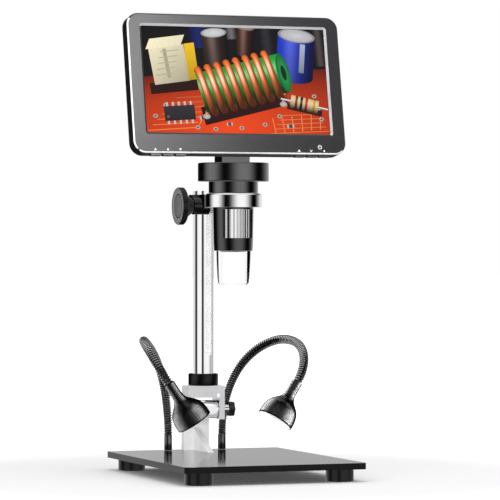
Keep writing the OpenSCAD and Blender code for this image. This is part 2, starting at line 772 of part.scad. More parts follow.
// A ring of small lights round the lens, shining down through the clear tip
module led_board() {
    led_r = 8.5;
    board_low = nose_low + tip_plug_h;
    color("white") translate([0, 0, board_low]) tube(nose_bore - 2 * seat_gap, 11, 1.4);
    color("lightyellow") for (k = [0 : led_count - 1]) rotate([0, 0, k * 360 / led_count])
        translate([led_r - 1.2, -1.2, board_low - 0.8]) cube([2.4, 2.4, 0.8]);
}

module clear_tip() {
    plug_d = nose_bore - 2 * screw_gap;
    lip_r = 2;
    color([0.9, 0.95, 0.95, 0.4]) rotate_extrude() polygon([
        [tip_low_d / 2 - tip_wall - 0.6, tip_low], [tip_low_d / 2 - lip_r, tip_low],
        [tip_low_d / 2, tip_low + lip_r], [tip_top_d / 2, nose_low], [plug_d / 2, nose_low],
        [plug_d / 2, nose_low + tip_plug_h], [plug_d / 2 - tip_wall, nose_low + tip_plug_h],
        [plug_d / 2 - tip_wall, nose_low], [tip_low_d / 2 - tip_wall, tip_low + lip_r]
    ]);
}

module hinge_block() {
    color([0.1, 0.1, 0.1]) difference() {
        union() {
            translate([-block_w / 2, block_front, disc_top])
                cube([block_w, block_back - block_front, block_body_top - disc_top]);
            for (side = [-1, 1]) translate([side * (block_w - ear_t) / 2, hinge_y, 0]) {
                translate([0, 0, hinge_z]) rod_x(2 * ear_r, -ear_t / 2, ear_t / 2);
                translate([-ear_t / 2, -ear_r, disc_top + 1]) cube([ear_t, 2 * ear_r, hinge_rise - 1]);
            }
        }
        translate([0, hinge_y, hinge_z])
            rod_x(hinge_pin_d + 2 * screw_gap, -block_w / 2 - 1, block_w / 2 + 1);
        for (side = [-1, 1]) translate([side * block_screw_x, hinge_y, disc_top - 1])
            cylinder(d = block_screw_d + 2 * screw_gap, h = 5);
    }
}

module hinge_pin() {
    color("silver") translate([0, hinge_y, hinge_z])
        rod_x(hinge_pin_d, -block_w / 2 + 0.2, block_w / 2 - 0.2);
}

module block_screws() {
    head_h = 2;
    color("silver") for (side = [-1, 1])
        translate([side * block_screw_x, hinge_y, disc_top - lid_t - head_h])
            screw_up(block_screw_d, lid_t + 3.6, 5.5, head_h);
}

module focus_ring() {
    groove = 1.2;
    color("whitesmoke") translate([0, 0, focus_ring_low])
        linear_extrude(focus_ring_top - focus_ring_low) difference() {
            circle(d = focus_ring_d);
            circle(d = lens_tube_d + 2 * run_gap);
            for (k = [0 : focus_ring_grips - 1]) rotate(k * 360 / focus_ring_grips)
                translate([focus_ring_d / 2 + 0.1, 0]) circle(d = groove, $fn = 16);
        }
}

module lens_tube() {
    color([0.05, 0.05, 0.05]) translate([0, 0, lens_tube_low]) rotate_extrude() polygon([
        [lens_d / 2 - 1, 0], [lens_tube_d / 2, 0], [lens_tube_d / 2, lens_tube_h],
        [lens_d / 2 + seat_gap, lens_tube_h], [lens_d / 2 + seat_gap, lens_shelf],
        [lens_d / 2 - 1, lens_shelf]
    ]);
}

module front_lens() {
    color([0.7, 0.8, 0.9, 0.5]) translate([0, 0, lens_tube_low + lens_shelf])
        cylinder(d = lens_d, h = front_lens_t);
}

module rear_lens() {
    hollow_r = 15;
    hollow_depth = 1.1;
    color([0.7, 0.8, 0.9, 0.5]) translate([0, 0, lens_tube_low + lens_shelf + front_lens_t + seat_gap])
        difference() {
            cylinder(d = lens_d, h = rear_lens_t);
            translate([0, 0, rear_lens_t - hollow_depth + hollow_r]) sphere(r = hollow_r);
        }
}

// Puts a piece that is drawn in the screen's own frame in its place at rest
module on_screen() {
    translate([0, hinge_y, hinge_z]) rotate([-screen_lean, 0, 0]) children();
}

// A plate with round corners that faces the user: y from y0, centred on x = 0 and on z
module face_plate(w, h, r, y0, t, z_mid) {
    translate([0, y0 + t, z_mid]) rotate([90, 0, 0]) round_plate(w, h, r, t);
}

module front_bezel() {
    inner_w = case_w - 2 * case_wall;
    inner_h = case_h - 2 * case_wall;
    slot_w = button_w + 2 * free_gap;
    slot_d = button_d + 2 * free_gap;
    color([0.3, 0.3, 0.31]) on_screen() difference() {
        union() {
            difference() {
                face_plate(case_w, case_h, case_corner, case_front, bezel_d, case_mid);
                face_plate(inner_w, inner_h, case_corner - case_wall, case_front + case_wall, bezel_d,
                           case_mid);
            }
            for (p = case_screw_places) translate([p[0], parting, p[1]]) rotate([90, 0, 0])
                cylinder(d = case_screw_post_d, h = bezel_d - case_wall + 0.5);
        }
        for (p = case_screw_places) translate([p[0], parting + 1, p[1]]) rotate([90, 0, 0])
            cylinder(d = case_screw_d + 2 * screw_gap, h = 1 + case_screw_grip + seat_gap);
        translate([-picture_w / 2, case_front - 1, picture_mid - picture_h / 2])
            cube([picture_w, bezel_d, picture_h]);
        for (x = button_x)
            translate([x - slot_w / 2, button_y - slot_d / 2, case_low - 1])
                cube([slot_w, slot_d, case_wall + 2]);
    }
}

module rear_cover() {
    pin_bore = hinge_pin_d + 2 * run_gap;
    color([0.08, 0.08, 0.08]) on_screen() difference() {
        union() {
            difference() {
                union() {
                    face_plate(case_w, case_h, case_corner, parting, cover_edge, case_mid);
                    face_plate(bulge_w, bulge_high - bulge_low, bulge_corner, cover_back, cover_bulge,
                               (bulge_high + bulge_low) / 2);
                }
                face_plate(case_w - 2 * case_wall, case_h - 2 * case_wall, case_corner - case_wall,
                           parting - 1, cover_edge - case_wall + 1, case_mid);
                face_plate(bulge_w - 2 * case_wall, bulge_high - bulge_low - 2 * case_wall,
                           bulge_corner - case_wall, parting, cover_edge + cover_bulge - case_wall,
                           (bulge_high + bulge_low) / 2);
            }
            rod_x(2 * lug_r, -lug_w / 2, lug_w / 2);
            translate([-lug_w / 2, cover_back - case_wall, -lug_r])
                cube([lug_w, case_wall - cover_back, 2 * lug_r]);
            board_posts();
            screw_posts();
        }
        rod_x(pin_bore, -lug_w / 2 - 1, lug_w / 2 + 1);
        for (p = case_screw_places)
            translate([p[0], cover_back + 1, p[1]]) rotate([90, 0, 0])
                cylinder(d = case_screw_d + 2 * screw_gap, h = cover_edge + bezel_d);
        translate([-bulge_w / 2 - 1, socket_y - seat_gap, socket_z - socket_w / 2 - seat_gap])
            cube([case_wall + 2, socket_t + 2 * seat_gap, socket_w + 2 * seat_gap]);
    }
}

// Posts from the cover's raised middle to the main board
module board_posts() {
    post = bulge_back - case_wall - board_y - board_t;
    for (sx = [-1, 1]) for (sz = [-1, 1])
        translate([board_x + sx * (board_w / 2 - 4), bulge_back - case_wall + 0.5,
                   board_mid + sz * (board_h / 2 - 4)])
            rotate([90, 0, 0]) cylinder(d = post_d, h = post + 0.5);
}

// Posts round the case's screws, up to the joint between cover and bezel
module screw_posts() {
    for (p = case_screw_places)
        translate([p[0], cover_back - 1, p[1]]) rotate([90, 0, 0])
            cylinder(d = case_screw_post_d, h = cover_edge - 1);
}

module lcd_panel() {
    color([0.02, 0.02, 0.05]) on_screen()
        translate([-panel_w / 2, panel_y, picture_mid - panel_h / 2]) cube([panel_w, panel_t, panel_h]);
}

module main_board() {
    chips = [[-14, 12, 14], [8, 14, 10], [-6, -12, 9], [14, -8, 7]];
    chip_t = 1.4;
    color("darkgreen") on_screen() translate([board_x, board_y, board_mid]) {
        translate([-board_w / 2, 0, -board_h / 2]) cube([board_w, board_t, board_h]);
        for (c = chips)
            translate([c[0] - c[2] / 2, board_t, c[1] - c[2] / 2]) cube([c[2], chip_t, c[2]]);
    }
}

// The charging socket on the board's edge, which opens through the side of the cover
module charge_socket() {
    shell = 0.4;
    color("gainsboro") on_screen()
        translate([-bulge_w / 2 + 0.2, socket_y, socket_z - socket_w / 2]) difference() {
            cube([socket_l, socket_t, socket_w]);
            translate([-1, shell, shell]) cube([socket_l, socket_t - 2 * shell, socket_w - 2 * shell]);
        }
}

module battery() {
    color("silver") on_screen()
        translate([battery_x - battery_w / 2, bulge_back - case_wall - seat_gap - battery_t,
                   board_mid - battery_h / 2])
            cube([battery_w, battery_t, battery_h]);
}

// Two narrow boards over the buttons, each with one switch for each button
module button_board() {
    strip_w = 3 * button_pitch - 2;
    strip_h = 1.2;
    strip_low = case_low + case_wall + seat_gap + button_flange_t + button_travel + seat_gap + switch_h;
    strip_front = case_front + case_wall + seat_gap;
    strip_back = cover_back - case_wall - seat_gap;
    switch_w = 4;
    switch_d = 3;
    color("darkgreen") on_screen() for (side = [-1, 1]) {
        translate([side * button_group_x - strip_w / 2, strip_front, strip_low])
            cube([strip_w, strip_back - strip_front, strip_h]);
        for (k = [-1, 0, 1])
            translate([side * button_group_x + k * button_pitch - switch_w / 2,
                       button_y - switch_d / 2, strip_low - switch_h])
                cube([switch_w, switch_d, switch_h]);
    }
}

module case_screws() {
    head_h = 1.2;
    color("silver") on_screen() for (p = case_screw_places)
        translate([p[0], cover_back + head_h, p[1]]) rotate([90, 0, 0])
            screw_up(case_screw_d, cover_edge + case_screw_grip, 4.6, head_h);
}

module button(k) {
    root_h = button_proud + case_wall + seat_gap;
    flange_w = button_w + 2 * free_gap + 2 * button_flange;
    color([0.35, 0.35, 0.36]) on_screen()
        translate([button_x[k], button_y, case_low - button_proud]) {
            translate([-button_w / 2, -button_d / 2, 0]) cube([button_w, button_d, root_h + 0.5]);
            translate([-flange_w / 2, -button_d / 2, root_h]) cube([flange_w, button_d, button_flange_t]);
        }
}

// A cubic curve with its four control points
function curve(p, t) = pow(1 - t, 3) * p[0] + 3 * t * pow(1 - t, 2) * p[1]
                       + 3 * t * t * (1 - t) * p[2] + pow(t, 3) * p[3];
function slope(p, t) = pow(1 - t, 2) * (p[1] - p[0]) + 2 * t * (1 - t) * (p[2] - p[1])
                       + t * t * (p[3] - p[2]);
function unit(v) = v / norm(v);

// A round tube along a curve, with a ring of points at each step
module curved_tube(route, d) {
    side_dir = [for (k = [0 : route_steps]) unit(cross(slope(route, k / route_steps), [-0.9, -0.3, 0.1]))];
    up_dir = [for (k = [0 : route_steps]) cross(side_dir[k], unit(slope(route, k / route_steps)))];
    points = [for (k = [0 : route_steps]) for (j = [0 : neck_sides - 1])
        curve(route, k / route_steps)
            + d / 2 * (cos(j * 360 / neck_sides) * side_dir[k] + sin(j * 360 / neck_sides) * up_dir[k])];
    walls = [for (k = [0 : route_steps - 1]) for (j = [0 : neck_sides - 1])
        let (a = k * neck_sides, n = (j + 1) % neck_sides)
        [a + j, a + n, a + neck_sides + n, a + neck_sides + j]];
    first_cap = [for (j = [neck_sides - 1 : -1 : 0]) j];
    last_cap = [for (j = [0 : neck_sides - 1]) route_steps * neck_sides + j];
    polyhedron(points, concat(walls, [first_cap, last_cap]));
}

// Draws a piece of the right lamp, or its mirror image on the left
module on_side(side) {
    if (side > 0) children();
    else mirror([1, 0, 0]) children();
}

module gooseneck_lower(side) {
    color([0.08, 0.08, 0.08]) on_side(side) {
        curved_tube(lower_route, gooseneck_d);
        translate(crown) sphere(d = ball_d);
        translate([neck_foot_x, neck_foot_y, 0]) {
            translate([0, 0, plate_top + free_gap]) cylinder(d = ferrule_d, h = ferrule_h + 1);
            translate([0, 0, foot_h - nut_h]) cylinder(d = nut_d, h = nut_h - free_gap);
            translate([0, 0, foot_h - nut_h]) cylinder(d = stem_d, h = nut_h + plate_t + 0.8);
        }
    }
}

module gooseneck_upper(side) {
    color([0.08, 0.08, 0.08]) on_side(side) {
        difference() {
            curved_tube(upper_route, gooseneck_d);
            translate(crown) sphere(d = socket_d);
        }
        translate(swivel) sphere(d = ball_d);
    }
}

// Puts a lamp's piece in place: its rim is drawn on z = 0 and its neck points up
module on_lamp(side) {
    on_side(side) translate(swivel + lamp_length * lamp_dir)
        rotate([-lamp_forward, lamp_lean, 0]) children();
}

// Outer radius of the shell at each height over the rim
lamp_outline = [
    [lamp_d / 2, 0], [lamp_d / 2 + 0.3, 4.5], [lamp_d / 2 - 0.1, 8], [lamp_d / 2 - 1.3, 12],
    [lamp_d / 2 - 3.5, 15.3], [lamp_d / 2 - 6.1, 18], [lamp_d / 2 - 8.4, 20.5], [lamp_d / 2 - 9.8, 23.5],
    [lamp_d / 2 - 10.2, 27], [lamp_d / 2 - 10.2, lamp_length]
];
lamp_cavity_h = 12;

module lamp_shell(side) {
    cavity = [for (p = lamp_outline) if (p[1] < lamp_cavity_h) [p[0] - lamp_wall, p[1]]];
    wire_r = 1.6;
    color([0.08, 0.08, 0.08]) on_lamp(side) difference() {
        rotate_extrude() polygon(concat(
            [[wire_r, lamp_length], [wire_r, lamp_cavity_h], [cavity[2][0] - 1.5, lamp_cavity_h]],
            [for (k = [2 : -1 : 0]) cavity[k]],
            lamp_outline
        ));
        translate([0, 0, lamp_length]) sphere(d = socket_d);
    }
}

module lamp_diffuser(side) {
    color([0.95, 0.95, 0.9]) on_lamp(side) translate([0, 0, lamp_recess])
        cylinder(d = lamp_d - 2 * lamp_wall - 2 * seat_gap - 0.4, h = diffuser_t);
}

module lamp_board(side) {
    led_d = 6;
    board_z = lamp_cavity_h - led_board_t - seat_gap;
    color("white") on_lamp(side) {
        translate([0, 0, board_z]) cylinder(d = lamp_d - 2 * lamp_wall - 5.6, h = led_board_t);
        translate([0, 0, board_z - 1.4]) cylinder(d = led_d, h = 1.4);
    }
}

base_plate();
feet();
foot_screws();
pedestal();
pedestal_screws();
lamp_gland();
tilt_screw();
tilt_knob();
yoke();
collar();
column();
rack();
column_bolt();
carriage();
head_ring();
ring_screws();
focus_knob();
knob_face();
focus_shaft();
pinion();
head_housing();
head_lid();
barrel();
nose_ring();
sensor_board();
led_board();
clear_tip();
hinge_block();
hinge_pin();
block_screws();
focus_ring();
lens_tube();
front_lens();
rear_lens();
front_bezel();
rear_cover();
lcd_panel();
main_board();
charge_socket();
battery();
button_board();
case_screws();
button(0);  // button_up
button(1);  // button_ok
button(2);  // button_down
button(3);  // button_snap
button(4);  // button_menu
button(5);  // button_power
gooseneck_lower(-1);  // gooseneck_left_lower
gooseneck_upper(-1);  // gooseneck_left_upper
lamp_shell(-1);  // lamp_left_shell
lamp_diffuser(-1);  // lamp_left_diffuser
lamp_board(-1);  // lamp_left_board
gooseneck_lower(1);  // gooseneck_right_lower
gooseneck_upper(1);  // gooseneck_right_upper
lamp_shell(1);  // lamp_right_shell
lamp_diffuser(1);  // lamp_right_diffuser
lamp_board(1);  // lamp_right_board
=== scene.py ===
"""The looks of a desk microscope with its own screen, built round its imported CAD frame.

Metres. +Z is up, +X is the user's right and +Y points to the back, as in the CAD model.
"""

import json
import math

import bmesh
import bpy
from mathutils import Matrix, Vector


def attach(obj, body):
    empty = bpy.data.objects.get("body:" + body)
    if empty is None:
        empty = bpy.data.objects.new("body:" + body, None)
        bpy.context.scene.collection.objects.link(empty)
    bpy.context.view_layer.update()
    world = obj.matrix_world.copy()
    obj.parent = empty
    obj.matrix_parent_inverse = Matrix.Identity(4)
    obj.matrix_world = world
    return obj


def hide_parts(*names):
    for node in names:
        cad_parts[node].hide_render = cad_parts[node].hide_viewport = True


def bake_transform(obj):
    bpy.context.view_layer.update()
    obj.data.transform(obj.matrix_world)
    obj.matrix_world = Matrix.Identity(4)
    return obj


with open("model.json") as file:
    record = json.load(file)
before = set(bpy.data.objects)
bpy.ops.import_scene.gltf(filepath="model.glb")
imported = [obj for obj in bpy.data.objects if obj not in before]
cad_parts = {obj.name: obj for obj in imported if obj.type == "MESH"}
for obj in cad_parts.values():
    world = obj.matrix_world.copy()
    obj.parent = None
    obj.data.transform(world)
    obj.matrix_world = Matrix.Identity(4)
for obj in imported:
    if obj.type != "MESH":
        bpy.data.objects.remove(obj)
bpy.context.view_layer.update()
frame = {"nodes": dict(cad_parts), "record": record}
NODES = frame["nodes"]
MM = 0.001


def joint_place(name):
    """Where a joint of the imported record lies, in millimetres."""
    joint = next(j for j in frame["record"]["behaviour"]["joints"] if j["name"] == name)
    return Vector([c / MM for c in joint["pos_m"]])


# ---------------------------------------------------------------- camera

CAMERA_AZIMUTH = -19.85
CAMERA_ELEVATION = -0.08
CAMERA_DISTANCE = 2.5
CAMERA_TARGET = Vector((0, 0, 0.19))
FOCAL_LENGTH = 224.2     # on a sensor 36 mm wide
PICTURE_SIDE = 500
PRINCIPAL_X = 233.3      # where the camera points, in pixels of the photograph
PRINCIPAL_Y = 238.9


def direction(azimuth, elevation):
    """The unit vector from the object towards a viewer at that azimuth and elevation, in degrees."""
    a, e = math.radians(azimuth), math.radians(elevation)
    return Vector((math.sin(a) * math.cos(e), -math.cos(a) * math.cos(e), math.sin(e)))


def make_camera():
    """The photograph's camera, level with the object's middle and far off."""
    data = bpy.data.cameras.new("camera")
    data.lens = FOCAL_LENGTH
    data.sensor_width = 36
    data.shift_x = (PICTURE_SIDE / 2 - PRINCIPAL_X) / PICTURE_SIDE
    data.shift_y = (PRINCIPAL_Y - PICTURE_SIDE / 2) / PICTURE_SIDE
    data.clip_start = 0.05
    data.clip_end = 50
    camera = bpy.data.objects.new("camera", data)
    bpy.context.scene.collection.objects.link(camera)
    back = direction(CAMERA_AZIMUTH, CAMERA_ELEVATION)
    camera.location = CAMERA_TARGET + CAMERA_DISTANCE * back
    camera.rotation_mode = "QUATERNION"
    camera.rotation_quaternion = (-back).to_track_quat("-Z", "Y")
    bpy.context.scene.camera = camera


make_camera()

# ---------------------------------------------------------------- materials

CLOUDS = 60               # waves per metre of a colour's slow drift
LEAST_ROUGHNESS = 0.02
GRAIN_HEIGHT = 0.1 * MM
NOISE_RANGE = (0.3, 0.7)  # where most of a noise's values lie


def tree_of(name):
    """A new material and short ways to its nodes and links."""
    made = bpy.data.materials.new(name)
    made.use_nodes = True
    nodes = made.node_tree.nodes
    return made, nodes, made.node_tree.links, nodes["Principled BSDF"]


def put(node, values):
    """Sets inputs of a node by their names."""
    for name, value in values.items():
        node.inputs[name].default_value = value


def noise(nodes, links, scale, detail=3.0):
    """A noise in the piece's own coordinates. Scale is in waves per metre."""
    place = nodes.new("ShaderNodeTexCoord")
    texture = nodes.new("ShaderNodeTexNoise")
    put(texture, {"Scale": scale, "Detail": detail})
    links.new(place.outputs["Object"], texture.inputs["Vector"])
    return texture.outputs["Fac"]


def map_range(nodes, links, source, start, end, low, high, kind="LINEAR"):
    """Goes from low to high as a socket's value goes from start to end."""
    made = nodes.new("ShaderNodeMapRange")
    made.interpolation_type = kind
    put(made, {"From Min": start, "From Max": end, "To Min": low, "To Max": high})
    links.new(source, made.inputs["Value"])
    return made.outputs["Result"]


def colour_ramp(nodes, links, source, stops, kind="LINEAR"):
    """A colour that follows a socket's value. Each stop is a value from 0 to 1 and a colour."""
    made = nodes.new("ShaderNodeValToRGB")
    made.color_ramp.interpolation = kind
    elements = made.color_ramp.elements
    for k, (position, colour) in enumerate(stops):
        stop = elements[k] if k < 2 else elements.new(position)
        stop.position = position
        stop.color = (*colour, 1)
    links.new(source, made.inputs["Fac"])
    return made.outputs["Color"]


def surface(name, colour, roughness, metallic=0.0, specular=0.5, ior=1.5, tint=0.06, haze=0.05, grain=1500,
            bump=0.02):
    """A solid finish: colour drifts by tint, roughness by haze, and a fine grain is raised by bump."""
    made, nodes, links, shader = tree_of(name)
    put(shader, {"Metallic": metallic, "Specular IOR Level": specular, "IOR": ior})
    drift = [[min(1, c * share) for c in colour] for share in (1 - tint, 1 + tint)]
    cloud = colour_ramp(nodes, links, noise(nodes, links, CLOUDS), zip(NOISE_RANGE, drift))
    links.new(cloud, shader.inputs["Base Color"])
    fine = noise(nodes, links, grain, 2.0)
    smoothest = max(LEAST_ROUGHNESS, roughness - haze)
    links.new(map_range(nodes, links, fine, *NOISE_RANGE, smoothest, roughness + haze),
              shader.inputs["Roughness"])
    if bump:
        raised = nodes.new("ShaderNodeBump")
        put(raised, {"Strength": bump, "Distance": GRAIN_HEIGHT})
        links.new(fine, raised.inputs["Height"])
        links.new(raised.outputs["Normal"], shader.inputs["Normal"])
    return made


def clear(name, tint, edge_dark, ior=1.46, start=0.6, end=0.95):
    """Clear plastic or glass whose colour is painted darker at its rim where it is seen edge on, as painted
    shade.
    """
    made, nodes, links, shader = tree_of(name)
    put(shader, {"Transmission Weight": 1, "IOR": ior, "Roughness": LEAST_ROUGHNESS})
    facing = nodes.new("ShaderNodeLayerWeight")
    put(facing, {"Blend": 0.35})
    stops = [(start, tint), (end, [c * edge_dark for c in tint])]
    links.new(colour_ramp(nodes, links, facing.outputs["Facing"], stops), shader.inputs["Base Color"])
    return made


def glowing(name, colour, strength):
    """A frosted surface that gives off some light of its own."""
    made = surface(name, colour, 0.4, tint=0.03)
    put(made.node_tree.nodes["Principled BSDF"],
        {"Emission Color": (*colour, 1), "Emission Strength": strength})
    return made


LACQUER = (0.0025, 0.0025, 0.0028)
GLOSS = {"specular": 0.9, "ior": 1.8, "bump": 0.01}     # of a hard glossy lacquer
ENAMEL = surface("plate_enamel", (0.003, 0.003, 0.0036), 0.1, specular=0.13, haze=0.02, grain=700)
RUBBER = surface("foot_rubber", (0.003, 0.003, 0.003), 0.3, specular=0.3, haze=0.06, bump=0.05)
ZINC = surface("zinc_steel", (0.62, 0.62, 0.63), 0.3, metallic=1, haze=0.1)
BLACK_PLASTIC = surface("moulded_black", (0.006, 0.006, 0.0065), 0.36, haze=0.06, bump=0.12)
STEEL = surface("bright_steel", (0.82, 0.82, 0.83), 0.14, metallic=1)
ANODISED = surface("black_anodised", LACQUER, 0.17, haze=0.03, **GLOSS)
CHROME = surface("chrome", (0.93, 0.93, 0.94), 0.05, metallic=1, tint=0.02, haze=0.02, bump=0)
KNOB_GREY = surface("knob_grey", (0.22, 0.22, 0.228), 0.35, metallic=0.1, haze=0.08)
KNOB_RING = surface("knob_ring", (0.36, 0.36, 0.37), 0.3, metallic=0.2, haze=0.06)
# Painted highlight for the knob's rim edge
KNOB_RIM_HIGHLIGHT = surface("knob_rim_painted_highlight", (0.5, 0.5, 0.51), 0.3, metallic=0.3)
BARREL_BLACK = surface("barrel_black", LACQUER, 0.16, haze=0.03, bump=0.01, specular=0.7, ior=1.65)
BOARD_GREEN = surface("circuit_board", (0.01, 0.12, 0.04), 0.4)
BOARD_WHITE = surface("white_board", (0.8, 0.8, 0.78), 0.5)
TIP_CLEAR = clear("clear_plastic", (1.0, 1.0, 1.0), 0.0, start=0.8, end=0.88)
LENS_CLEAR = clear("lens_glass", (0.9, 0.95, 1.0), 0.6, ior=1.52)
BEZEL = surface("bezel_grey", (0.0135, 0.0135, 0.0155), 0.36, haze=0.03, bump=0.04, grain=2500)
# Painted highlights on the bezel: white for its chamfer's left and lower sides, light grey for the opening's
# upper and right slopes
CHAMFER_PAINTED_HIGHLIGHT = surface("bezel_painted_highlight", (0.95, 0.95, 0.96), 0.25, haze=0.04)
SLOPE_PAINTED_HIGHLIGHT = surface("opening_painted_highlight", (0.42, 0.42, 0.43), 0.3, haze=0.04)
CASE_BLACK = surface("case_black", (0.01, 0.01, 0.0105), 0.4, haze=0.08, bump=0.2)
PANEL = surface("screen_glass", (0.01, 0.01, 0.015), 0.1, specular=0.3)
FOIL = surface("cell_foil", (0.55, 0.55, 0.57), 0.3, metallic=0.8)
BUTTON_GREY = surface("button_grey", (0.06, 0.06, 0.063), 0.35, metallic=0.3)
HOSE_BLACK = surface("hose_black", LACQUER, 0.14, haze=0.02, **GLOSS)
# Also painted shade in the hoses' grooves
DULL_BLACK = surface("dull_black", (0.001, 0.001, 0.001), 0.6, specular=0.05)
LAMP_BLACK = surface("lamp_black", LACQUER, 0.14, haze=0.005, **{**GLOSS, "bump": 0})
# Its glow also goes on the bells' white insides, as painted light
LAMP_WHITE = glowing("lamp_white", (0.95, 0.95, 0.93), 0.6)
RACK = surface("rack_steel", (0.93, 0.93, 0.94), 0.4, metallic=0.3, haze=0.06)
SATIN = surface("satin_aluminium", (0.9, 0.9, 0.905), 0.32, metallic=0.3, haze=0.06, grain=2500)
YOKE_GREY = surface("yoke_grey", (0.6, 0.6, 0.61), 0.24, metallic=1, grain=2500)
TILT_BARREL = surface("barrel_polish", (0.86, 0.86, 0.87), 0.16, metallic=1, grain=2500)
CARRIAGE_BLACK = surface("carriage_black", LACQUER, 0.16, haze=0.03, bump=0.01, specular=0.45)
COLLAR_BLACK = surface("collar_black", (0.003, 0.003, 0.0032), 0.3, specular=0.35, haze=0.05)

# By material slot of the record
FINISHES = {
    "plate_paint": ENAMEL, "foot_rubber": RUBBER, "zinc_steel": ZINC, "polished_aluminium": SATIN,
    "moulded_black": BLACK_PLASTIC, "bright_steel": STEEL, "black_anodised": ANODISED,
    "column_chrome": CHROME, "ring_chrome": CHROME, "knob_grey": KNOB_GREY, "barrel_black": BARREL_BLACK,
    "circuit_board": BOARD_GREEN, "white_board": BOARD_WHITE, "clear_plastic": TIP_CLEAR,
    "lens_glass": LENS_CLEAR, "bezel_grey": BEZEL, "case_black": CASE_BLACK, "screen_glass": PANEL,
    "cell_foil": FOIL, "button_grey": BUTTON_GREY, "hose_black": HOSE_BLACK, "lamp_black": LAMP_BLACK,
    "lamp_white": LAMP_WHITE,
}
# CAD nodes whose finish differs from their slot's
OWN_FINISH = {
    "rack": RACK, "yoke": YOKE_GREY, "collar": COLLAR_BLACK, "focus_knob": COLLAR_BLACK,
    "carriage": CARRIAGE_BLACK,
}


def dress_cad_nodes():
    """Gives each CAD node its own finish, or that of its material slot."""
    slots = {part["node"]: part["material_slot"] for part in frame["record"]["subparts"]}
    for name, obj in NODES.items():
        obj.data.materials.clear()
        obj.data.materials.append(OWN_FINISH.get(name, FINISHES[slots[name]]))


dress_cad_nodes()

BARREL_AXIS = joint_place("column_tilt")     # the pedestal's tilt barrel, which runs along X
BARREL_RADIUS = 7.9


def polish_barrel():
    """The tilt barrel's round wall is polished, the rest of the casting is satin."""
    mesh = NODES["pedestal"].data
    mesh.materials.append(TILT_BARREL)
    for face in mesh.polygons:
        corners = [mesh.vertices[k].co / MM - BARREL_AXIS for k in face.vertices]
        if all(abs(math.hypot(v.y, v.z) - BARREL_RADIUS) < 0.1 for v in corners):
            face.material_index = 1


polish_barrel()

# ---------------------------------------------------------------- softened edges of CAD nodes

MERGE_GAP = 0.001 * MM    # points closer than this are one
# Width of the edge round on each CAD node that stays, in millimetres
EDGE_ROUNDS = {
    "base_plate": 0.5, "feet": 0.8, "pedestal": 0.6, "yoke": 0.6, "collar": 0.7, "carriage": 0.5,
    "tilt_knob": 0.5, "head_housing": 0.4, "hinge_block": 0.5, "rear_cover": 0.8,
}
ROUND_WALLS = ["head_housing", "feet"]     # shaded smoothly all round


def soften(name, width):
    """Rounds a CAD node's sharp edges by modifiers, which leave its mesh as it is."""
    obj = NODES[name]
    weld = obj.modifiers.new("weld", "WELD")
    weld.merge_threshold = MERGE_GAP
    flat = obj.modifiers.new("flat", "DECIMATE")
    flat.decimate_type = "DISSOLVE"
    flat.angle_limit = math.radians(0.5)
    bevel = obj.modifiers.new("edges", "BEVEL")
    bevel.width = width * MM
    bevel.segments = 3
    bevel.limit_method = "ANGLE"
    bevel.angle_limit = math.radians(40)
    bevel.harden_normals = name not in ROUND_WALLS


for node_name, round_width in EDGE_ROUNDS.items():
    soften(node_name, round_width)

# ---------------------------------------------------------------- mesh helpers


def link_mesh(name, vertices, faces, finishes, smooth=True, finish_of=None):
    """Makes a mesh object. finish_of gives each face's index in finishes."""
    mesh = bpy.data.meshes.new(name)
    mesh.from_pydata([tuple(v) for v in vertices], [], faces)
    mesh.polygons.foreach_set("use_smooth", [smooth] * len(mesh.polygons))
    for finish in finishes:
        mesh.materials.append(finish)
    if finish_of:
        mesh.polygons.foreach_set("material_index", finish_of)
    mesh.update()
    obj = bpy.data.objects.new(name, mesh)
    bpy.context.scene.collection.objects.link(obj)
    return obj


def sharpen(obj, angle=35):
    """Marks the edges sharper than angle, so that shading breaks there."""
    obj.data.set_sharp_from_angle(angle=math.radians(angle))
    return obj


def clean(obj, angle=35):
    """Merges points that coincide and turns the faces outward, then sharpens."""
    shape = bmesh.new()
    shape.from_mesh(obj.data)
    bmesh.ops.remove_doubles(shape, verts=shape.verts, dist=MERGE_GAP)
    bmesh.ops.recalc_face_normals(shape, faces=shape.faces)
    shape.to_mesh(obj.data)
    shape.free()
    return sharpen(obj, angle)


def bands(rows, count):
    """The faces that join closed rows of count points, one row after another."""
    faces = []
    for row in range(rows - 1):
        for k in range(count):
            n = (k + 1) % count
            a, b = row * count, (row + 1) * count
            faces.append((a + k, a + n, b + n, b + k))
    return faces


def smooth_profile(points, steps=6):
    """A Catmull-Rom curve through the points of an outline."""
    padded = [points[0], *points, points[-1]]
    made = []
    for k in range(1, len(padded) - 2):
        a, b, c, d = (Vector(padded[k + j]) for j in (-1, 0, 1, 2))
        for s in range(steps):
            t = s / steps
            made.append(0.5 * (2 * b + (c - a) * t + (2 * a - 5 * b + 4 * c - d) * t * t
                               + (3 * b - a - 3 * c + d) * t ** 3))
    made.append(Vector(points[-1]))
    return made


def lathe(name, profile, place, finish, segments=72):
    """Turns an outline of (radius, height) points round the Z axis of the matrix place."""
    vertices = []
    for r, z in profile:
        for k in range(segments):
            a = 2 * math.pi * k / segments
            vertices.append(place @ Vector((r * math.cos(a), r * math.sin(a), z)))
    return clean(link_mesh(name, vertices, bands(len(profile), segments), [finish]))


# ---------------------------------------------------------------- focus knob's face

KNOB_AXIS = joint_place("focus_knob_turn")
KNOB_FACE_X = -25.5               # back of the face's disc
KNOB_RADIUS = 15.3
KNOB_GROOVE = (9.15, 10.05)       # its inner and outer radius


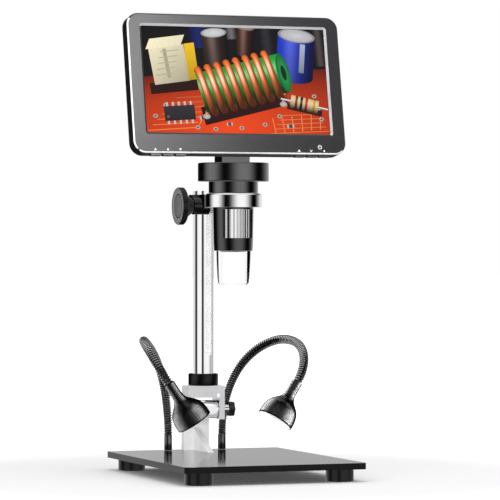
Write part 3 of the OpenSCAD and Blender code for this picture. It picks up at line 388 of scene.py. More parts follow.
def make_knob_face():
    """A turned face with a groove round its middle, painted black as shade, and a painted highlight on the
    knob's rim.
    """
    place = (Matrix.Scale(MM, 4) @ Matrix.Translation((KNOB_FACE_X, KNOB_AXIS.y, KNOB_AXIS.z))
             @ Matrix.Rotation(math.radians(-90), 4, "Y"))
    face = lathe("knob_disc", [
        (0, 0.8), (9.0, 0.8), (9.2, 0.7), (9.3, 0.3), (9.95, 0.3), (10.05, 0.7), (10.3, 0.8), (13.4, 0.8),
        (14.0, 0.95), (14.2, 0.8), (14.2, 0.0), (0, 0.0),
    ], place, KNOB_GREY)
    face.data.materials.append(KNOB_RING)
    face.data.materials.append(COLLAR_BLACK)
    inner = place.inverted()
    for part in face.data.polygons:
        centre = inner @ part.center
        radius = math.hypot(centre.x, centre.y)
        # The groove is painted black as shade; the ring outside it is a lighter grey
        if radius >= KNOB_GROOVE[0] and centre.z >= 0.1:
            part.material_index = 2 if radius < KNOB_GROOVE[1] else 1
    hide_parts("knob_face")
    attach(face, "focus_drive")
    outline = [(1.0, 1.18), (0.9, 1.24), (0.5, 1.24), (0.1, 0.9), (0.4, 0.8), (1.0, 1.18)]
    outline = [(KNOB_RADIUS - inward, height) for inward, height in outline]
    edge = lathe("knob_rim_painted_highlight", outline, place, KNOB_RIM_HIGHLIGHT)
    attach(edge, "focus_drive")


make_knob_face()

# ---------------------------------------------------------------- goosenecks

# The same curves as the CAD model's, for the right-hand lamp, in millimetres
FOOT = joint_place("gooseneck_right_swing")
CROWN = joint_place("gooseneck_right_bend")
CROWN_DIRECTION = Vector((0.324, -0.946, 0))
SWIVEL = joint_place("lamp_right_nod")
LAMP_LEAN = math.radians(33.5)
LAMP_FORWARD = math.radians(3.4)
LAMP_TURN = Matrix.Rotation(LAMP_LEAN, 4, "Y") @ Matrix.Rotation(-LAMP_FORWARD, 4, "X")
LAMP_DIRECTION = -(LAMP_TURN @ Vector((0, 0, 1)))
LAMP_LENGTH = 37.4
FERRULE_HEIGHT = 12.5
LOWER_ROUTE = [FOOT + Vector((0, 0, FERRULE_HEIGHT)), FOOT + Vector((0, 0, 0.81 * (CROWN.z - FOOT.z))),
               CROWN - 22 * CROWN_DIRECTION, CROWN]
UPPER_ROUTE = [CROWN, CROWN + 33 * CROWN_DIRECTION, SWIVEL - 14 * LAMP_DIRECTION, SWIVEL]
HOSE_RADIUS = 3.8
HOSE_CORE = 2.7          # radius between two turns
HOSE_WIRE = 0.54         # share of the pitch that the wound wire fills
HOSE_PITCH = 2.05
HOSE_SIDES = 24
RINGS_PER_TURN = 12
HOSE_SEAM_Y = 27         # where the lower hose piece ends and the upper one starts


def on_curve(p, t):
    """A point on a cubic curve with four control points."""
    return (1 - t) ** 3 * p[0] + 3 * t * (1 - t) ** 2 * p[1] + 3 * t * t * (1 - t) * p[2] + t ** 3 * p[3]


def even_points(routes, gap):
    """Points about gap apart along the curves, one after another."""
    dense = [on_curve(route, k / 400) for route in routes for k in range(400)] + [routes[-1][-1]]
    made, walked = [dense[0]], 0.0
    for a, b in zip(dense, dense[1:]):
        length = (b - a).length
        while walked + length >= gap:
            share = (gap - walked) / length
            a = a.lerp(b, share)
            length = (b - a).length
            made.append(a.copy())
            walked = 0.0
        walked += length
    return made


def wire_height(phase):
    """How far the wound wire stands out at a place of its pitch, from 0 to 1."""
    return max(0.0, min(1.0, 5 - 5 * abs((2 * (phase % 1.0) - 1) / HOSE_WIRE)))


def hose_rings(points):
    """Rings of points round the line, whose radius follows a wire wound round it."""
    side = Vector((1, 0, 0))
    rings = []
    for k, p in enumerate(points):
        ahead = points[min(k + 1, len(points) - 1)] - points[max(k - 1, 0)]
        ahead.normalize()
        side = (side - side.dot(ahead) * ahead).normalized()
        up = ahead.cross(side)
        ring = []
        for j in range(HOSE_SIDES):
            turn = j / HOSE_SIDES
            radius = HOSE_CORE + (HOSE_RADIUS - HOSE_CORE) * wire_height(k / RINGS_PER_TURN - turn)
            a = 2 * math.pi * turn
            ring.append(p + radius * (math.cos(a) * side + math.sin(a) * up))
        rings.append(ring)
    return rings


def mirrored(v, mirror):
    """A point of the right-hand lamp in metres, on the right or mirrored to the left."""
    return Vector((mirror * v.x, v.y, v.z)) * MM


def hose_mesh(name, rings, mirror, first):
    """Joins rings to a closed tube, on the right or mirrored to the left. Only the turns' tops are glossy;
    the grooves are dull black as painted shade.

    First is the number of the first ring on the whole hose.
    """
    vertices = [mirrored(v, mirror) for ring in rings for v in ring]
    # Faces in the grooves between the turns get the dull black, as painted shade
    dull = [int(wire_height((first + k + 0.5) / RINGS_PER_TURN - (j + 0.5) / HOSE_SIDES) < 0.9)
            for k in range(len(rings) - 1) for j in range(HOSE_SIDES)]
    last = (len(rings) - 1) * HOSE_SIDES
    caps = [tuple(range(HOSE_SIDES))[::-1], tuple(range(last, last + HOSE_SIDES))]
    faces = bands(len(rings), HOSE_SIDES) + caps
    if mirror < 0:
        faces = [face[::-1] for face in faces]
    obj = link_mesh(name, vertices, faces, [HOSE_BLACK, DULL_BLACK], True, [*dull, 0, 0])
    return sharpen(obj, 30)


FERRULE_PROFILE = [
    (0, 0.3), (3.1, 0.3), (3.3, 0.6), (3.3, FERRULE_HEIGHT - 0.2), (3.1, FERRULE_HEIGHT + 0.4),
    (0, FERRULE_HEIGHT + 0.4),
]
NUT_PROFILE = [(0, -5.2), (5.0, -5.2), (5.3, -5.5), (5.3, -7.6), (5.0, -7.9), (0, -7.9)]


def make_gooseneck(side, mirror):
    """A hose in two pieces, lower and upper, with the ferrule and nut at its foot."""
    rings = hose_rings(even_points([LOWER_ROUTE, UPPER_ROUTE], HOSE_PITCH / RINGS_PER_TURN))
    centres = [sum(ring, Vector()) / HOSE_SIDES for ring in rings]
    seam = next(k for k, c in enumerate(centres) if c.y < HOSE_SEAM_Y)
    base, end, lamp = f"gooseneck_{side}_base", f"gooseneck_{side}_end", f"lamp_{side}"
    lower = hose_mesh(f"hose_{side}_lower", rings[:seam + 1], mirror, 0)
    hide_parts(f"gooseneck_{side}_lower")
    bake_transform(lower)
    upper = hose_mesh(f"hose_{side}_upper", rings[seam:], mirror, seam)
    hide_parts(f"gooseneck_{side}_upper")
    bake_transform(upper)
    place = Matrix.Translation(mirrored(FOOT, mirror)) @ Matrix.Scale(MM, 4)
    for name, profile in ((f"ferrule_{side}", FERRULE_PROFILE), (f"nut_{side}", NUT_PROFILE)):
        piece = lathe(name, profile, place, LAMP_BLACK, 48)
        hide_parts(f"gooseneck_{side}_lower")
        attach(piece, base)


# ---------------------------------------------------------------- lamp shells

# Radius and height over the rim, from the rim up to the neck
LAMP_OUTLINE = [
    (14.5, 0), (14.85, 0.15), (15.0, 0.6), (15.0, 4.5), (14.55, 8), (13.4, 12), (11.2, 15.3), (8.6, 18),
    (6.3, 20.5), (4.95, 23.5), (4.5, 27), (4.5, 36.6),
]
LAMP_TOP = [(4.2, 37.2), (0, 37.3)]
LAMP_RIM = 1.1                # height of the dull band round the rim
LAMP_WALL = 0.4               # faces further inside the outline belong to the cavity
LAMP_DEPTH = 12
LAMP_CAVITY = [
    (13.5, 0), (13.3, 0.4), (13.5, 4.5), (13.1, 8), (11.9, 11.4), (11.4, LAMP_DEPTH), (0, LAMP_DEPTH),
]


def make_lamp_shell(side, mirror):
    """The lamp's bell as one turned shape: glossy outside, dull rounded rim and a white inside whose glow is
    painted light from the lamp.
    """
    place = (Matrix.Diagonal((mirror * MM, MM, MM, 1))
             @ Matrix.Translation(SWIVEL + LAMP_LENGTH * LAMP_DIRECTION) @ LAMP_TURN)
    outside = [*smooth_profile(LAMP_OUTLINE), *LAMP_TOP]
    inside = smooth_profile(LAMP_CAVITY, 4)
    shell = lathe(f"lamp_{side}_bell", [*reversed(inside), *outside], place, LAMP_BLACK)
    shell.data.materials.append(LAMP_WHITE)
    shell.data.materials.append(DULL_BLACK)
    inner = place.inverted()
    for face in shell.data.polygons:
        centre = inner @ face.center
        outer = next(r for r, z in LAMP_OUTLINE + LAMP_TOP if z >= centre.z - 0.001)
        # The cavity is white and glows, as painted light from the lamp
        if centre.z < LAMP_DEPTH + 0.1 and math.hypot(centre.x, centre.y) < outer - LAMP_WALL:
            face.material_index = 1
        elif centre.z < LAMP_RIM:
            face.material_index = 2
    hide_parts(f"lamp_{side}_shell")
    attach(shell, f"lamp_{side}")


for side_name, side_sign in (("left", -1), ("right", 1)):
    make_gooseneck(side_name, side_sign)
    make_lamp_shell(side_name, side_sign)

# ---------------------------------------------------------------- screen frame

SCREEN_LEAN = math.radians(10.9)
HINGE = joint_place("screen_tilt")
CASE_W, CASE_H, CASE_CORNER = 180.0, 114.0, 10.0
CASE_FRONT, CASE_LOW, BEZEL_DEPTH = -21.9, -9.5, 7.0
CASE_MID = CASE_LOW + CASE_H / 2
PICTURE_W, PICTURE_H, PICTURE_LIFT = 155.6, 87.0, 3.4
PICTURE_MID = CASE_MID + PICTURE_LIFT
CHAMFER, BEZEL_WALL = 1.0, 2.0
SLOPE_W, SLOPE_DEPTH, OPENING_CORNER = 1.7, 1.5, 0.8
BUTTON_GROUP, BUTTON_PITCH = 61.0, 10.4
ON_SCREEN = Matrix.Scale(MM, 4) @ Matrix.Translation(HINGE) @ Matrix.Rotation(-SCREEN_LEAN, 4, "X")


def round_loop(w, h, r, y, mid, steps=10):
    """A rectangle with round corners that faces the user, as a loop of points."""
    made = []
    for sx, sz, start in ((1, 1, 0), (-1, 1, 90), (-1, -1, 180), (1, -1, 270)):
        x, z = sx * (w / 2 - r), mid + sz * (h / 2 - r)
        for k in range(steps + 1):
            a = math.radians(start + 90 * k / steps)
            made.append(Vector((x + r * math.cos(a), y, z + r * math.sin(a))))
    return made


def loops_mesh(name, loops, finishes, finish_of_band, place):
    """Joins loops with the same number of points, one after another, into bands."""
    count = len(loops[0])
    finish_of = [finish_of_band(band, (loops[band][k] + loops[band + 1][k]) / 2)
                 for band in range(len(loops) - 1) for k in range(count)]
    vertices = [place @ v for loop in loops for v in loop]
    return clean(link_mesh(name, vertices, bands(len(loops), count), finishes, True, finish_of), 25)


def case_loop(inset, y):
    """The case's outline, drawn in by inset, at a depth."""
    return round_loop(CASE_W - 2 * inset, CASE_H - 2 * inset, CASE_CORNER - inset, y, CASE_MID)


def picture_loop(outset, y):
    """The opening's outline, widened by outset, at a depth."""
    return round_loop(PICTURE_W + 2 * outset, PICTURE_H + 2 * outset, OPENING_CORNER + outset, y, PICTURE_MID)


def make_bezel():
    """The front frame, with a chamfer in front and a sloped edge round the picture, both with painted
    highlights on some sides.
    """
    front, inside, back = CASE_FRONT, CASE_FRONT + BEZEL_WALL, CASE_FRONT + BEZEL_DEPTH
    outer = [case_loop(0, back), case_loop(0, front + CHAMFER + 0.3), case_loop(0.15, front + CHAMFER),
             case_loop(CHAMFER, front + 0.15), case_loop(CHAMFER + 0.2, front)]
    inner = [picture_loop(SLOPE_W, front), picture_loop(0, front + SLOPE_DEPTH), picture_loop(0, inside),
             case_loop(BEZEL_WALL, inside), case_loop(BEZEL_WALL, back)]
    loops = [*outer, *inner, outer[0]]
    chamfer, slope = (2, 3), 5     # numbers of their bands

    def finish_of(band, centre):
        """Painted highlights: white on the chamfer's left and lower sides, light grey on the opening's upper
        and right slopes.
        """
        if band in chamfer:
            return int(centre.x < -CASE_W / 2 + 3 or centre.z < CASE_LOW + 3)
        if band == slope:
            return 2 * int(centre.z > PICTURE_MID + PICTURE_H / 2 - 0.5 or centre.x > PICTURE_W / 2 - 0.2)
        return 0

    bezel = loops_mesh("bezel", loops, [BEZEL, CHAMFER_PAINTED_HIGHLIGHT, SLOPE_PAINTED_HIGHLIGHT], finish_of, ON_SCREEN)
    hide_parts("front_bezel")
    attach(bezel, "screen")


make_bezel()

# ---------------------------------------------------------------- picture on the screen

LIGHT = Vector((-0.45, 0.55, 0.70)).normalized()
HALF = (LIGHT + Vector((0, 0, 1))).normalized()


def tone(r, g, b):
    """A display colour in 0..255 as linear light."""
    return Vector([((c / 255 + 0.055) / 1.055) ** 2.4 if c > 10 else c / 255 / 12.92 for c in (r, g, b)])


def shaded(base, normal, gloss=0.5, power=24):
    """The base colour under the picture's own light."""
    lit = base * (0.1 + 1.15 * max(0.0, normal.dot(LIGHT)) ** 1.3)
    shine = gloss * max(0.0, normal.dot(HALF)) ** power
    return lit + shine * (0.45 * Vector((1, 1, 1)) + 0.55 * base / max(base))


def axes(angle):
    """The directions along and across something that is turned by angle in the picture."""
    a = math.radians(angle)
    return Vector((math.cos(a), math.sin(a), 0)), Vector((-math.sin(a), math.cos(a), 0))


def beside(centre, angle, x, y):
    """The point that lies x along and y across from centre."""
    along, across = axes(angle)
    p = Vector((*centre, 0)) + x * along + y * across
    return p.x, p.y


class Picture:
    """Thin painted layers in the plane of the screen, each a grid of coloured points, in millimetres."""

    def __init__(self):
        self.points, self.faces, self.colours, self.layer = [], [], [], 0

    def grid(self, columns, rows, place, colour):
        """Place and colour are functions of two shares from 0 to 1."""
        first = len(self.points)
        depth = PICTURE_DEPTH - 0.004 * self.layer
        self.layer += 1
        for r in range(rows + 1):
            for c in range(columns + 1):
                u, v = place(c / columns, r / rows)
                u = max(-PICTURE_W / 2 + 0.05, min(PICTURE_W / 2 - 0.05, u))
                v = max(-PICTURE_H / 2 + 0.05, min(PICTURE_H / 2 - 0.05, v))
                self.points.append(ON_SCREEN @ Vector((u, depth, PICTURE_MID + v)))
                self.colours.append(colour(c / columns, r / rows))
        for r in range(rows):
            for c in range(columns):
                a = first + r * (columns + 1) + c
                self.faces.append((a, a + 1, a + columns + 2, a + columns + 1))

    def block(self, centre, size, angle, colour, columns=6, rows=6, lean=0.0):
        """A flat rectangle, turned by angle and leaning sideways by lean."""
        def place(s, t):
            y = (t - 0.5) * size[1]
            return beside(centre, angle, (s - 0.5) * size[0] + lean * y, y)
        self.grid(columns, rows, place, colour if callable(colour) else lambda s, t: colour)

    def disc(self, centre, radius, colour, rim=None, squash=1.0, angle=0.0):
        """A disc whose colour runs from the middle to the rim."""
        rim = rim or colour

        def place(s, t):
            a = 2 * math.pi * s
            return beside(centre, angle, radius * t * math.cos(a), radius * t * math.sin(a) * squash)
        self.grid(28, 3, place, lambda s, t: colour.lerp(rim, t))

    def rod(self, centre, length, radius, angle, base, gloss=0.5, start=0.0, end=1.0):
        """A round rod in the picture's plane, or the part of it from start to end."""
        along, across = axes(angle)
        middle = Vector((*centre, 0))

        def normal(t):
            return math.cos(math.pi * t) * across + math.sin(math.pi * t) * Vector((0, 0, 1))

        def place(s, t):
            p = middle + along * length * (start + (end - start) * s - 0.5) + radius * normal(t)
            return p.x, p.y
        self.grid(8, 18, place, lambda s, t: shaded(base, normal(t), gloss))

    def wire(self, line, radius, base, gloss=0.7):
        """A round wire along a line of points that also have a height over the plane."""
        def frame_at(k):
            ahead = (line[min(k + 1, len(line) - 1)] - line[max(k - 1, 0)]).normalized()
            side = ahead.cross(Vector((0, 0, 1))).normalized()
            up = side.cross(ahead)
            return side, up if up.z > 0 else -up
        frames = [frame_at(k) for k in range(len(line))]
        last = len(line) - 1

        def normal(s, t):
            side, up = frames[round(s * last)]
            w = 2 * t - 1
            return w * side + math.sqrt(max(0, 1 - w * w)) * up

        def place(s, t):
            p = line[round(s * last)] + radius * normal(s, t)
            return p.x, p.y
        self.grid(last, 6, place, lambda s, t: shaded(base, normal(s, t), gloss, 16))

    def coil(self, centre, angle, radius, wire, turns, pitch, base):
        """The front halves of a coil's turns round a rod."""
        along, across = axes(angle)
        for turn in range(turns):
            first = (turn - (turns - 1) / 2) * pitch
            line = []
            for k in range(25):
                phi = math.pi * (1.06 * k / 24 - 0.03)
                out = math.cos(phi) * across + math.sin(phi) * Vector((0, 0, 1))
                slip = first + pitch * (k / 24 - 0.5) * 0.5 + 0.5 * math.sin(3.1 * turn)
                line.append(Vector((*centre, 0)) + slip * along + (radius + 0.7 * wire) * out)
            self.wire(line, wire, base, 1.5)

    def can(self, centre, radius, height, angle, base, top, squash=0.36):
        """A can that stands up in the picture and shows its top, whose height is squashed."""
        across, up = axes(angle)
        foot = Vector((*centre, 0)) - up * height / 2

        def normal(s):
            return -math.cos(math.pi * s) * across + math.sin(math.pi * s) * Vector((0, 0, 1))

        def place(s, t):
            p = foot + up * (height * t - radius * squash * math.sin(math.pi * s)) + radius * normal(s)
            return p.x, p.y
        self.grid(20, 8, place, lambda s, t: shaded(base, normal(s), 0.35, 20) * (0.55 + 0.45 * t))
        crown = foot + up * height
        self.disc((crown.x, crown.y), radius, top * 0.8, top * 0.45, squash, angle)
        self.disc((crown.x, crown.y), 0.86 * radius, top * 1.1, top * 0.8, squash, angle)

    def finish(self):
        """Makes the picture's mesh, which carries its colours."""
        obj = link_mesh("picture", self.points, self.faces, [PICTURE], False)
        paint = obj.data.color_attributes.new("Paint", "FLOAT_COLOR", "POINT")
        paint.data.foreach_set("color", [c for v in self.colours for c in (*v, 1.0)])
        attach(obj, "screen")


def painted_glow(name):
    """Colours that the mesh carries, lit from behind, with a fine unevenness."""
    made, nodes, links, shader = tree_of(name)
    put(shader, {"Base Color": (0.01, 0.01, 0.01, 1), "Roughness": 0.2, "Specular IOR Level": 0.15,
                 "Emission Strength": 1.0})
    paint = nodes.new("ShaderNodeAttribute")
    paint.attribute_name = "Paint"
    uneven = map_range(nodes, links, noise(nodes, links, 900, 4.0), *NOISE_RANGE, 0.94, 1.06)
    scale = nodes.new("ShaderNodeVectorMath")
    scale.operation = "SCALE"
    links.new(paint.outputs["Color"], scale.inputs[0])
    links.new(uneven, scale.inputs["Scale"])
    links.new(scale.outputs["Vector"], shader.inputs["Emission Color"])
    return made


PICTURE = painted_glow("picture_glow")
PICTURE_DEPTH = CASE_FRONT + 1.96
COPPER, RESIST = tone(226, 108, 40), tone(222, 66, 20)
CREAM, YELLOW = tone(250, 240, 204), tone(252, 204, 36)
SILVER, SOLDER = tone(205, 205, 210), tone(190, 192, 186)


def board_place(s, t):
    """The board fills the lower part of the picture, under a slanting edge."""
    u = (s - 0.5) * PICTURE_W
    top = 2 + 9 * s
    return u, -PICTURE_H / 2 + (top + PICTURE_H / 2) * t


def make_picture():
    """An enlarged view of made-up electronics: a wound rod, cans, a block, a resistor and a chip."""
    art = Picture()
    night, ember = tone(14, 12, 16), tone(58, 32, 28)
    art.grid(20, 10, lambda s, t: ((s - 0.5) * PICTURE_W, (t - 0.5) * PICTURE_H),
             lambda s, t: ember.lerp(night, min(1, 0.35 + t)) * (1.2 - 0.8 * abs(s - 0.45)))
    for u, v, w, h, colour in ((-30, 36, 16, 20, tone(16, 26, 84)), (28, 33, 12, 30, tone(34, 34, 40)),
                               (73, 30, 8, 34, tone(60, 54, 52)), (-2, 40, 9, 12, tone(90, 86, 90))):
        art.block((u, v), (w, h), 3, lambda s, t, c=colour: c * (0.35 + 1.2 * math.sin(math.pi * s) ** 2),
                  10, 2)
    art.grid(24, 12, board_place,
             lambda s, t: RESIST.lerp(tone(92, 20, 12), 0.9 * t * t) * (1.2 - 0.9 * abs(s - 0.45)))
    trace = tone(232, 134, 78)
    for k in range(7):
        v = -40.5 + 4.4 * k
        art.block((-57 + 3.2 * k, v), (40 - 2 * k, 0.7), 4, trace * (1 - 0.07 * k), 4, 1)
        art.block((-57 + 3.2 * k + 24 - k, v + 4.6), (0.7, 7.4), -36, trace * (1 - 0.07 * k), 1, 4)
    for k in range(6):
        art.block((30 + 8 * k, -37 + 0.8 * k), (0.8, 13), 10 - 3 * k, trace, 1, 4)
    for k in range(5):
        art.block((52, -42 + 3.6 * k), (50 - 5 * k, 0.6), 3, trace * 0.85, 4, 1)
    for u, v in ((-70, -30), (-61, -21), (-35, -39), (-20, -40), (2, -39), (22, -36), (35, -29), (71, -31),
                 (66, -12), (30, -14), (-70, -10)):
        art.disc((u, v), 2.0, SOLDER, SOLDER * 0.7, 0.8)
        art.disc((u, v), 0.9, tone(60, 24, 12), tone(90, 40, 20), 0.8)
    for u, v, w, h, a in ((-30, -31, 6, 3, 8), (-8, -36, 5, 2.6, 4), (68, -22, 5, 3, -30),
                          (44, -37, 6, 3, 5)):
        art.block((u, v), (w, h), a, SOLDER * 0.9, 2, 2)
        art.block((u, v), (w * 0.5, h), a, tone(88, 70, 54), 2, 2)
    # a block of cream plastic with a yellow one beside it
    art.block((-53, -6), (40, 9), 6, tone(40, 14, 10), 4, 4)
    art.block((-56, 12), (30, 30), 8, lambda s, t: CREAM * (0.62 + 0.3 * t - 0.2 * s), 8, 8)
    art.block((-58.5, 30.5), (30, 8), 8, lambda s, t: CREAM * (1.0 - 0.15 * s), 6, 3, lean=0.6)
    art.block((-37.2, 15), (8.6, 30), 8, lambda s, t: YELLOW * (0.5 + 0.4 * t), 3, 8, lean=0.05)
    art.block((-58, 13), (3, 24), 8, CREAM * 0.42, 2, 6)
    for k in range(5):
        art.block((-60 + 1.2 * k, 4 + 4.8 * k), (16, 0.9), 8, CREAM * 0.5, 4, 1)
    # a dark can with a bright top, and a blue one
    art.can((-16, 26), 11, 26, 4, tone(58, 40, 34), SILVER)
    art.can((10, 33), 7.5, 22, -5, tone(70, 36, 26), tone(150, 130, 120))
    art.can((52, 21), 16, 34, -7, tone(30, 60, 196), SILVER * 0.9)
    art.block((57.5, 19), (4.4, 24), -7, lambda s, t: tone(196, 206, 232) * (0.35 + 0.4 * t), 2, 6)
    # the wound rod, its leads and its shadow
    art.block((6, -21), (74, 15), 14, tone(40, 12, 8), 6, 3)
    for u, v, top in ((-27, -30, 10), (39, -19, 12)):
        art.wire([Vector((u + 0.25 * k, v + top * k / 10, 1.0)) for k in range(11)], 1.7, COPPER)
        art.disc((u, v), 3.2, SOLDER * 1.1, SOLDER * 0.6, 0.7)
    middle, length, radius, turn = (5, -2), 74, 16.5, 14
    art.rod(middle, length, radius, turn, tone(24, 150, 56), 0.5)
    end = beside(middle, turn, length / 2, 0)
    art.disc(end, radius, tone(40, 168, 90), tone(18, 100, 46), 0.32, turn + 90)
    art.disc(end, 6.5, tone(10, 34, 22), tone(14, 52, 32), 0.32, turn + 90)
    art.coil((2.6, -2.4), turn, radius, 3.0, 8, 8.4, COPPER)
    # a resistor and a chip with its legs
    middle, turn = (57, -18.8), -12
    art.block((57, -23.5), (30, 5), turn, tone(50, 16, 10), 4, 2)
    art.wire([Vector((37 + 4 * k, -14.6 - 0.85 * k, 2)) for k in range(11)], 0.9, SILVER)
    art.rod(middle, 24, 5.4, turn, tone(222, 196, 146), 0.3)
    for at, colour in ((0.16, tone(120, 60, 24)), (0.34, tone(24, 22, 22)), (0.52, tone(190, 40, 24)),
                       (0.8, tone(200, 160, 60))):
        art.rod(middle, 24, 5.45, turn, colour, 0.3, at, at + 0.09)
    for k in range(5):
        art.block((-60 + 5 * k, -20.6 + 0.3 * k), (1.8, 3.4), 4, SOLDER, 1, 2)
        art.block((-59.2 + 5 * k, -35.2 + 0.3 * k), (1.8, 3.4), 4, SOLDER, 1, 2)
    art.block((-49.6, -27.4), (26, 12), 4, lambda s, t: tone(44, 42, 46) * (0.7 + 0.6 * t), 4, 4)
    art.disc((-59.4, -30.6), 1.2, tone(90, 88, 92))
    art.finish()


make_picture()

# ---------------------------------------------------------------- signs over the buttons

PRINT_WHITE = surface("print_white", (0.85, 0.85, 0.85), 0.5)


def make_signs():
    """Small plain signs printed over the buttons, in one thin mesh."""
    points, faces = [], []
    front = CASE_FRONT - 0.03
    low = CASE_LOW + 2.9

    def add(outline):
        first = len(points)
        points.extend(ON_SCREEN @ Vector((x, front, low + z)) for x, z in outline)
        faces.append(tuple(range(first, first + len(outline))))

    def arc(x, z, outer, inner, start=0, end=360, steps=20):
        for k in range(steps):
            a, b = (math.radians(start + (end - start) * (k + j) / steps) for j in (0, 1))
            add([(x + r * math.cos(t), z + r * math.sin(t)) for r, t in
                 ((inner, a), (outer, a), (outer, b), (inner, b))])

    left, right = -BUTTON_GROUP, BUTTON_GROUP
    x = left - BUTTON_PITCH - 1
    add([(x - 1.1, -0.8), (x + 1.1, -0.8), (x, 1.1)])
    arc(left - 1, 0, 0.75, 0.0)
    x = left + BUTTON_PITCH - 1
    add([(x - 1.1, 0.9), (x, -1.0), (x + 1.1, 0.9)])
    x = right - BUTTON_PITCH - 1.5
    add([(x - 1.2, -0.8), (x + 1.2, -0.8), (x, 1.0)])
    x = right - 1.5
    add([(x - 1.3, 0.8), (x - 0.8, 0.8), (x, -0.3), (x, -1.1)])
    add([(x, -1.1), (x, -0.3), (x + 0.8, 0.8), (x + 1.3, 0.8)])
    x = right + 6.2
    arc(x, 3.0, 1.7, 1.25, 120, 420)
    add([(x - 0.22, 2.9), (x + 0.22, 2.9), (x + 0.22, 5.0), (x - 0.22, 5.0)])
    x = right + 9.6
    add([(x - 0.9, 0), (x, -0.9), (x + 0.9, 0), (x, 0.9)])
    signs = link_mesh("button_signs", points, faces, [PRINT_WHITE], False)
    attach(signs, "screen")


make_signs()

# ---------------------------------------------------------------- floor, light and surroundings

FLOOR_GLOW = 0.06             # near the object, as the camera sees it
FLOOR_WHITE = (0.2, 0.6)      # distances between which the floor runs out into white
FLOOR_RADIUS, FLOOR_SIDES = 14, 96
DAYLIGHT = 0.7                # strength of the soft light on matt surfaces


def math_node(nodes, links, operation, *values):
    """A maths node. A value is a number or a socket."""
    made = nodes.new("ShaderNodeMath")
    made.operation = operation
    for k, value in enumerate(values):
        if isinstance(value, (int, float)):
            made.inputs[k].default_value = value
        else:
            links.new(value, made.inputs[k])
    return made.outputs["Value"]


def make_floor():
    """A white floor that keeps the object's shadow and runs out into pure white."""
    made, nodes, links, shader = tree_of("floor_white")
    put(shader, {"Base Color": (0.9, 0.9, 0.9, 1), "Roughness": 0.9, "Specular IOR Level": 0.0,
                 "Emission Color": (1, 1, 1, 1)})
    where = nodes.new("ShaderNodeTexCoord")
    away = nodes.new("ShaderNodeVectorMath")
    away.operation = "LENGTH"
    links.new(where.outputs["Object"], away.inputs[0])
    far = map_range(nodes, links, away.outputs["Value"], *FLOOR_WHITE, FLOOR_GLOW, 1.0, "SMOOTHSTEP")
    path = nodes.new("ShaderNodeLightPath")
    links.new(math_node(nodes, links, "MULTIPLY", far, path.outputs["Is Camera Ray"]),
              shader.inputs["Emission Strength"])
    angles = [2 * math.pi * k / FLOOR_SIDES for k in range(FLOOR_SIDES)]
    ring = [FLOOR_RADIUS * Vector((math.cos(a), math.sin(a), 0)) for a in angles]
    floor = link_mesh("floor", ring, [tuple(range(FLOOR_SIDES))], [made], False)
    floor.visible_glossy = False     # reflections see the studio's panels alone


def make_lamp(name, place, target, size, power, receivers=None):
    """A soft light. With receivers, it lights those objects alone and shows in their reflections."""
    data = bpy.data.lights.new(name, "AREA")
    data.shape = "RECTANGLE"
    data.size, data.size_y = size
    data.energy = power
    lamp = bpy.data.objects.new(name, data)
    bpy.context.scene.collection.objects.link(lamp)
    lamp.location = place
    lamp.rotation_mode = "QUATERNION"
    lamp.rotation_quaternion = (Vector(target) - Vector(place)).to_track_quat("-Z", "Y")
    lamp.visible_camera = False
    lamp.visible_glossy = bool(receivers)
    if receivers:
        light_only(lamp, receivers)


def light_only(source, receivers):
    """Keeps a light or a glowing backdrop to some objects."""
    group = bpy.data.collections.new(f"lit_by_{source.name}")
    for obj in receivers:
        group.objects.link(obj)
    source.light_linking.receiver_collection = group


# What polished surfaces see round the object: degrees to the right of the camera, and brightness
ROUND_HEAD = [
    (-180, 0.63), (-172, 0.6), (-158, 0.01), (-117, 0), (-80, 1.0), (-70, 1.0), (-31, 0), (-20, 0.01),
    (26, 1.0), (42, 1.0), (86, 0), (98, 0), (150, 0.85), (172, 0.63), (180, 0.63),
]
ROUND_COLUMN = [
    (-180, 0.66), (-168, 0.9), (-110, 0.8), (-90, 0.02), (-77, 0.02), (-60, 1.0), (-24, 1.0), (-9, 0),
    (-2, 0), (15, 1.0), (60, 1.0), (85, 0.5), (165, 0.6), (180, 0.66),
]
ROUND_HOSES = [
    (-180, 0.5), (-150, 2.6), (-116, 2.4), (-92, 0.01), (98, 0.01), (122, 1.2), (150, 1.7), (180, 0.5),
]
# Round the lamp's own axis
ROUND_LEFT_LAMP = [
    (-180, 0), (-160, 0.1), (-140, 0.9), (-116, 2.2), (-90, 1.4), (-66, 0.5), (-40, 0.03), (-6, 0.06),
    (20, 0.3), (40, 1.1), (66, 2.4), (84, 2.0), (112, 0.1), (130, 0), (180, 0),
]
ROUND_RIGHT_LAMP = [
    (-180, 0), (-158, 0.5), (-140, 2.8), (-122, 3.6), (-98, 2.1), (-82, 0.7), (-68, 0.15), (-30, 0.18),
    (5, 0.16), (22, 0.3), (36, 1.2), (60, 3.4), (92, 5.4), (108, 3.4), (122, 0.4), (140, 0), (180, 0),
]
ROUND_TIP = [
    (-180, 1.0), (-146, 1.0), (-138, 0), (-122, 0), (-112, 1.0), (96, 1.0), (110, 0), (142, 0), (154, 1.0),
    (180, 1.0),
]
ROUND_GRIPS = [
    (-180, 0), (-57, 0), (-50, 1.0), (-41, 1.0), (-35, 0.02), (-28, 0.02), (-21, 0.9), (0, 1.0), (30, 0.9),
    (42, 0.7), (46, 0.05), (49, 0.05), (54, 0.6), (62, 0.6), (70, 0.15), (98, 0.08), (104, 0), (122, 0),
    (127, 0.25), (133, 0), (180, 0),
]


